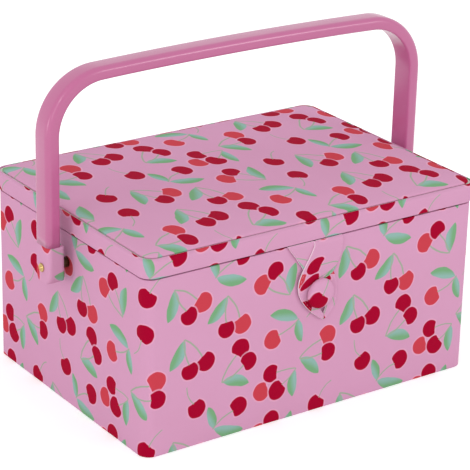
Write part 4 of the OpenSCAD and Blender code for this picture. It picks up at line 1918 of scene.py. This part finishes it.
        bar = close_ends(skin("moulded_handle", len(rows), sides, place, wrap=True))
        finish_with(bar, HANDLE_PLASTIC, "handle_plastic")
        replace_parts(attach(bar, "handle"), "handle_bar")
        LOG.info("handle: %.0f mm of bar", run[-1] / MM)

    def section(self, inner: float, outer: float, half_wide: float) -> list[Spot]:
        """Draws the bar's section, with large rounds outside and small ones inside.

        Args:
            inner: How far out the inner face lies.
            outer: How far out the outer face lies.
            half_wide: Half of the bar's width.

        Returns:
            Points round the section, each with its distance outwards and across.
        """
        corners = [
            (outer, half_wide, self.outer_round, 0),
            (inner, half_wide, self.inner_round, 90),
            (inner, -half_wide, self.inner_round, 180),
            (outer, -half_wide, self.outer_round, 270),
        ]
        ring = []
        for a, y, radius, start in corners:
            middle = (a - math.copysign(radius, a), y - math.copysign(radius, y))
            for k in range(7):
                angle = math.radians(start + 15 * k)
                ring.append((middle[0] + radius * math.cos(angle), middle[1] + radius * math.sin(angle)))
        return ring

    def make_tab(self, side: str) -> None:
        """Makes one covered tab: cloth round a stiffener, softer at its foot, with a tongue in the bar's end.

        Args:
            side: left or right.
        """
        size = Extent.of(f"{side}_handle_tab")
        inward = -math.copysign(1, size.middle.x)
        centre = Vector((size.middle.x + inward * self.tab_full / 2, size.middle.y))
        half_x, half_y = size.half.x + self.tab_full / 2, size.half.y + self.tab_proud
        outline = RoundRect(half_x, half_y, self.tab_edge, centre)
        shoulder = Extent.of("handle_bar").low.z
        path = route(
            (size.half.x, size.low.z),
            (0.0, size.low.z),
            (0.0, shoulder - self.tongue_gap),
            (self.tongue_inset, shoulder),
            (self.tongue_inset, size.high.z - self.tongue_gap),
            (size.half.x, size.high.z - self.tongue_gap),
        )
        profile = spaced(soften(path, self.cloth_round), 3 * MM)
        name = f"{side}_covered_tab"
        tab = sleeve(name, outline, profile, self.tab_stride, self.tab_relief, self.tab_cut)
        foot = size.low.z
        for v in tab.data.vertices:
            up = v.co.z - foot
            if up < self.tab_foot:
                narrow = self.tab_foot - math.sqrt(max(self.tab_foot**2 - (self.tab_foot - up) ** 2, 0))
                v.co.y *= 1 - narrow / size.half.y
            near_box = max(0.0, inward * (v.co.x - size.middle.x) / size.half.x)
            v.co.x += inward * self.flare * near_box * max(0.0, 1 - up / self.flare_up) ** 1.5
        weld(tab)
        finish_with(tab, COTTON, "print_cotton")
        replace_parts(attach(tab, "handle"), f"{side}_handle_tab")
        LOG.info("tab: %s", side)


# ---------- Trays and fittings ----------


@dataclass(frozen=True)
class Trays:
    """Two moulded trays that hang by their flanges."""

    edge: float = 0.4 * MM

    def build(self) -> None:
        """Dresses the trays and breaks their sharp edges."""
        for node in ("left_tray", "right_tray"):
            finish_with(crisp(frame["nodes"][node], self.edge), TRAY_PLASTIC)
            LOG.info("tray: %s", node)


@dataclass(frozen=True)
class LidFittings:
    """Gathered pocket with elastic on its mouth, and a stuffed pincushion, both on the lid's lining."""

    folds: int = 19
    fullness: float = 1.18
    cloth: float = 0.4 * MM
    columns: int = 229
    hold_reach: float = 7 * MM
    rise_reach: float = 10 * MM
    belly: float = 2.0 * MM
    pocket_ripple: float = 0.55 * MM
    elastic_ripple: float = 0.28 * MM
    elastic_round: float = 0.5 * MM
    elastic_lift: float = 0.3 * MM
    cushion_inside: float = 1.2 * MM
    cushion_corner: float = 11 * MM
    cushion_dome: float = 13 * MM
    cushion_tuck: float = 4 * MM
    pressure: float = 5.0
    swell: float = 1.2 * MM

    def build(self) -> None:
        """Makes the pocket, its elastic and the pincushion."""
        self.make_pocket()
        self.make_elastic()
        self.make_cushion()

    def fold(self, share: float) -> float:
        """Gives the gathers' height, from -1 to 1, at a share of the pocket's width."""
        bend = share + 0.012 * math.sin(share * 23) + 0.008 * math.sin(share * 57 + 1)
        return math.cos(math.tau * self.folds * bend) * (0.75 + 0.25 * math.sin(share * 31 + 2))

    def make_pocket(self) -> None:
        """Makes the pocket: flat where it is sewn to the lining, full and gathered at its mouth."""
        size = Extent.of("lid_pocket")
        lining = size.high.z
        across, along = self.columns, 34

        def place(i: int, j: int) -> Placed:
            """Gives a point of the pocket: row 0 is its sewn foot, and the last row its mouth."""
            to_mouth, share = i / (along - 1), j / (across - 1)
            y = size.high.y - (2 * size.half.y) * to_mouth
            x = size.low.x + 2 * size.half.x * share
            from_side = min(share, 1 - share) * 2 * size.half.x
            hold = min(from_side / self.hold_reach, 1.0)
            rise = min((size.high.y - y) / self.rise_reach, 1.0)
            belly = self.belly * math.sin(hold * math.pi / 2) * math.sin(rise * math.pi / 2)
            gathered = self.fold(share) * (0.15 + 0.85 * to_mouth**1.5)
            ripple = self.pocket_ripple * gathered * hold * rise
            on_cloth = (share * 2 * size.half.x * self.fullness, y)
            return (x, y, lining - 0.5 * MM - belly - ripple), on_cloth

        pocket = thicken(skin("gathered_pocket", along, across, place), self.cloth)
        finish_with(pocket, SATIN, "satin")
        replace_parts(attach(pocket, "lid"), "lid_pocket")
        LOG.info("pocket: %d folds", self.folds)

    def make_elastic(self) -> None:
        """Makes the elastic binding, ruffled by the gathers that it holds."""
        size = Extent.of("pocket_elastic")
        across = self.columns
        low, high = size.low.z + self.elastic_lift, size.high.z
        path = route((size.low.y, high), (size.low.y, low), (size.high.y, low), (size.high.y, high))
        section = soften(path, self.elastic_round)
        section += [section[0]]
        run = lengths_of(section)

        def place(i: int, j: int) -> Placed:
            """Gives a point of the section at a place along the elastic, moved by the gathers."""
            share, spot = i / (across - 1), section[j]
            along = 2 * size.half.x * share
            ripple = self.elastic_ripple * self.fold(share)
            return (size.low.x + along, spot.x, spot.y - ripple), (along, run[j])

        band = close_ends(skin("pocket_elastic_band", across, len(section) - 1, place, wrap=True))
        finish_with(band, ELASTIC, "elastic")
        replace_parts(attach(band, "lid"), "pocket_elastic")
        LOG.info("elastic: %.0f mm long", 2 * size.half.x / MM)

    def make_cushion(self) -> None:
        """Makes the pincushion: stuffed velveteen, swollen by simulation and flat where it is glued."""
        size = Extent.of("pincushion")
        deep = 2 * size.half.z
        inside = self.cushion_inside
        outline = RoundRect(size.half.x - inside, size.half.y - inside, self.cushion_corner)

        def crown(inset: float) -> float:
            """Height of the domed side above the glued one."""
            return 0.25 * deep + 0.55 * deep * rounded(inset, self.cushion_dome)

        def glued(inset: float) -> float:
            """Height of the glued side, drawn in under the edge."""
            return 0.25 * deep * max(0.0, 1 - inset / self.cushion_tuck)

        insets = [d * MM for d in (0, 0.4, 1.1, 2.2, 4.0, 6.0, 8.5, 11.0)]
        cushion = pillow("pincushion_velveteen", outline, insets, crown, glued, step=4 * MM)
        inflate(cushion, lambda p: p.z < 0.1 * MM, self.pressure, cap=self.swell)
        place = Matrix.Translation((size.middle.x, size.middle.y, size.high.z))
        cushion.data.transform(place @ Matrix.Rotation(math.pi, 4, "X"))
        finish_with(cushion, VELVETEEN, "cushion_cloth")
        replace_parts(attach(cushion, "lid"), "pincushion")
        LOG.info("pincushion: %.0f by %.0f mm", 2 * size.half.x / MM, 2 * size.half.y / MM)


# ---------- Studio ----------


@dataclass(frozen=True)
class Softbox:
    """A soft round lamp: where it stands, in degrees from straight ahead and up, its watts and its width."""

    name: str
    turn: float
    height: float
    power: float
    size: float


@dataclass(frozen=True)
class Studio:
    """White sweep, even light from all round with four weak soft lamps, and the camera.

    Angles are in degrees. The camera's distance and aims are in box widths.
    """

    reach: float = 6.0
    below: float = 0.05 * MM
    paint: float = 0.86
    lamp_distance: float = 3.0
    lamp_aim: float = 0.1
    lamps: tuple[Softbox, ...] = (
        Softbox("key", -44, 14, 4.0, 0.6),
        Softbox("glint", -42, 32, 7.0, 0.35),
        Softbox("side", 34, 16, 12.0, 0.8),
        Softbox("fill", -88, 7, 9.3, 0.8),
    )
    azimuth: float = -35.15
    elevation: float = 22.16
    roll: float = -1.42
    distance: float = 5.451
    aim_height: float = 0.25
    aim_right: float = 0.0057
    aim_up: float = 0.0949
    lens: float = 159.4
    sensor: float = 36.0
    sky: float = 0.91
    glow: float = 0.36

    def build(self) -> None:
        """Makes the floor, the light and the camera."""
        self.make_floor()
        self.make_light()
        self.make_camera()

    def make_floor(self) -> None:
        """Makes a plain pale floor that is white to the camera where no shadow falls."""
        reach, level = self.reach, -self.below
        corners = [(x * reach, y * reach, level) for x, y in ((-1, -1), (1, -1), (1, 1), (-1, 1))]
        floor = new_mesh("studio_floor", corners, [(0, 1, 2, 3)], [(0, 0)] * 4)
        white = bpy.data.materials.new("studio_sweep")
        white.use_nodes = True
        tree = white.node_tree
        tree.nodes.clear()
        lift = add(tree, "ShaderNodeMath", {0: self.seen(tree), 1: self.glow}, operation="MULTIPLY")
        paint = (self.paint, self.paint, self.paint, 1.0)
        shade = add(tree, "ShaderNodeBsdfDiffuse", {"Color": paint})
        glow = add(tree, "ShaderNodeEmission", {"Strength": lift})
        sweep = add(tree, "ShaderNodeAddShader", {0: shade, 1: glow})
        add(tree, "ShaderNodeOutputMaterial", {"Surface": sweep})
        floor.data.materials.append(white)

    @staticmethod
    def seen(tree: Tree) -> Node:
        """Tells rays that show a thing from rays that only carry its light.

        Args:
            tree: The tree that asks.

        Returns:
            A node that gives 1 for what is seen straight, mirrored or through glass, and else 0.
        """
        path = add(tree, "ShaderNodeLightPath")
        rays = {0: path.outputs["Is Camera Ray"], 1: path.outputs["Is Glossy Ray"]}
        direct = add(tree, "ShaderNodeMath", rays, operation="MAXIMUM")
        both = {0: direct, 1: path.outputs["Is Transmission Ray"]}
        return add(tree, "ShaderNodeMath", both, operation="MAXIMUM")

    def make_light(self) -> None:
        """Sets the sky's even light and the soft lamps."""
        world = bpy.data.worlds.new("studio_sky")
        world.use_nodes = True
        bpy.context.scene.world = world
        tree = world.node_tree
        tree.nodes.clear()
        shown = {"Value": self.seen(tree), "To Min": self.sky, "To Max": 1.0}
        strength = add(tree, "ShaderNodeMapRange", shown)
        sky = add(tree, "ShaderNodeBackground", {"Color": (1, 1, 1, 1), "Strength": strength})
        add(tree, "ShaderNodeOutputWorld", {"Surface": sky})
        for lamp in self.lamps:
            data = bpy.data.lights.new(f"{lamp.name}_softbox", "AREA")
            data.shape = "DISK"
            data.size = lamp.size
            data.energy = lamp.power
            made = put_in_scene(data.name, data)
            back = self.towards(lamp.turn, lamp.height)
            made.location = back * self.lamp_distance + Vector((0, 0, self.lamp_aim))
            made.rotation_mode = "QUATERNION"
            made.rotation_quaternion = (-back).to_track_quat("-Z", "Y")

    @staticmethod
    def towards(azimuth: float, elevation: float) -> Vector:
        """Gives the way from the box to something at an azimuth, 0 being straight ahead, and an elevation."""
        a, e = math.radians(azimuth), math.radians(elevation)
        return Vector((math.sin(a) * math.cos(e), -math.cos(a) * math.cos(e), math.sin(e)))

    def make_camera(self) -> None:
        """Sets the camera at the viewing angle, its distance in widths of the box."""
        size = Extent.of("box_cover")
        width = 2 * size.half.x
        back = self.towards(self.azimuth, self.elevation)
        azimuth, turn = math.radians(self.azimuth), math.radians(self.roll)
        level_right = Vector((math.cos(azimuth), math.sin(azimuth), 0))
        level_up = back.cross(level_right)
        right = level_right * math.cos(turn) - level_up * math.sin(turn)
        up = level_right * math.sin(turn) + level_up * math.cos(turn)
        aim = Vector((0, 0, self.aim_height))
        place = aim + back * self.distance + right * self.aim_right + up * self.aim_up
        data = bpy.data.cameras.new("camera")
        data.lens = self.lens
        data.sensor_width = self.sensor
        camera = put_in_scene("camera", data)
        axes = Matrix((right, up, back)).transposed().to_4x4()
        camera.matrix_world = Matrix.Translation(place * width) @ axes
        bpy.context.scene.camera = camera


def main() -> None:
    """Builds the sub-assemblies in order, then the studio."""
    logging.basicConfig(level=logging.INFO, format="%(name)s: %(message)s")
    for part in (BoxShell, CardLining, ClothHinge, Lid, Closure, Handle, Trays, LidFittings, Studio):
        part().build()
    bpy.context.scene.view_settings.view_transform = "Standard"


if __name__ == "__main__":
    main()
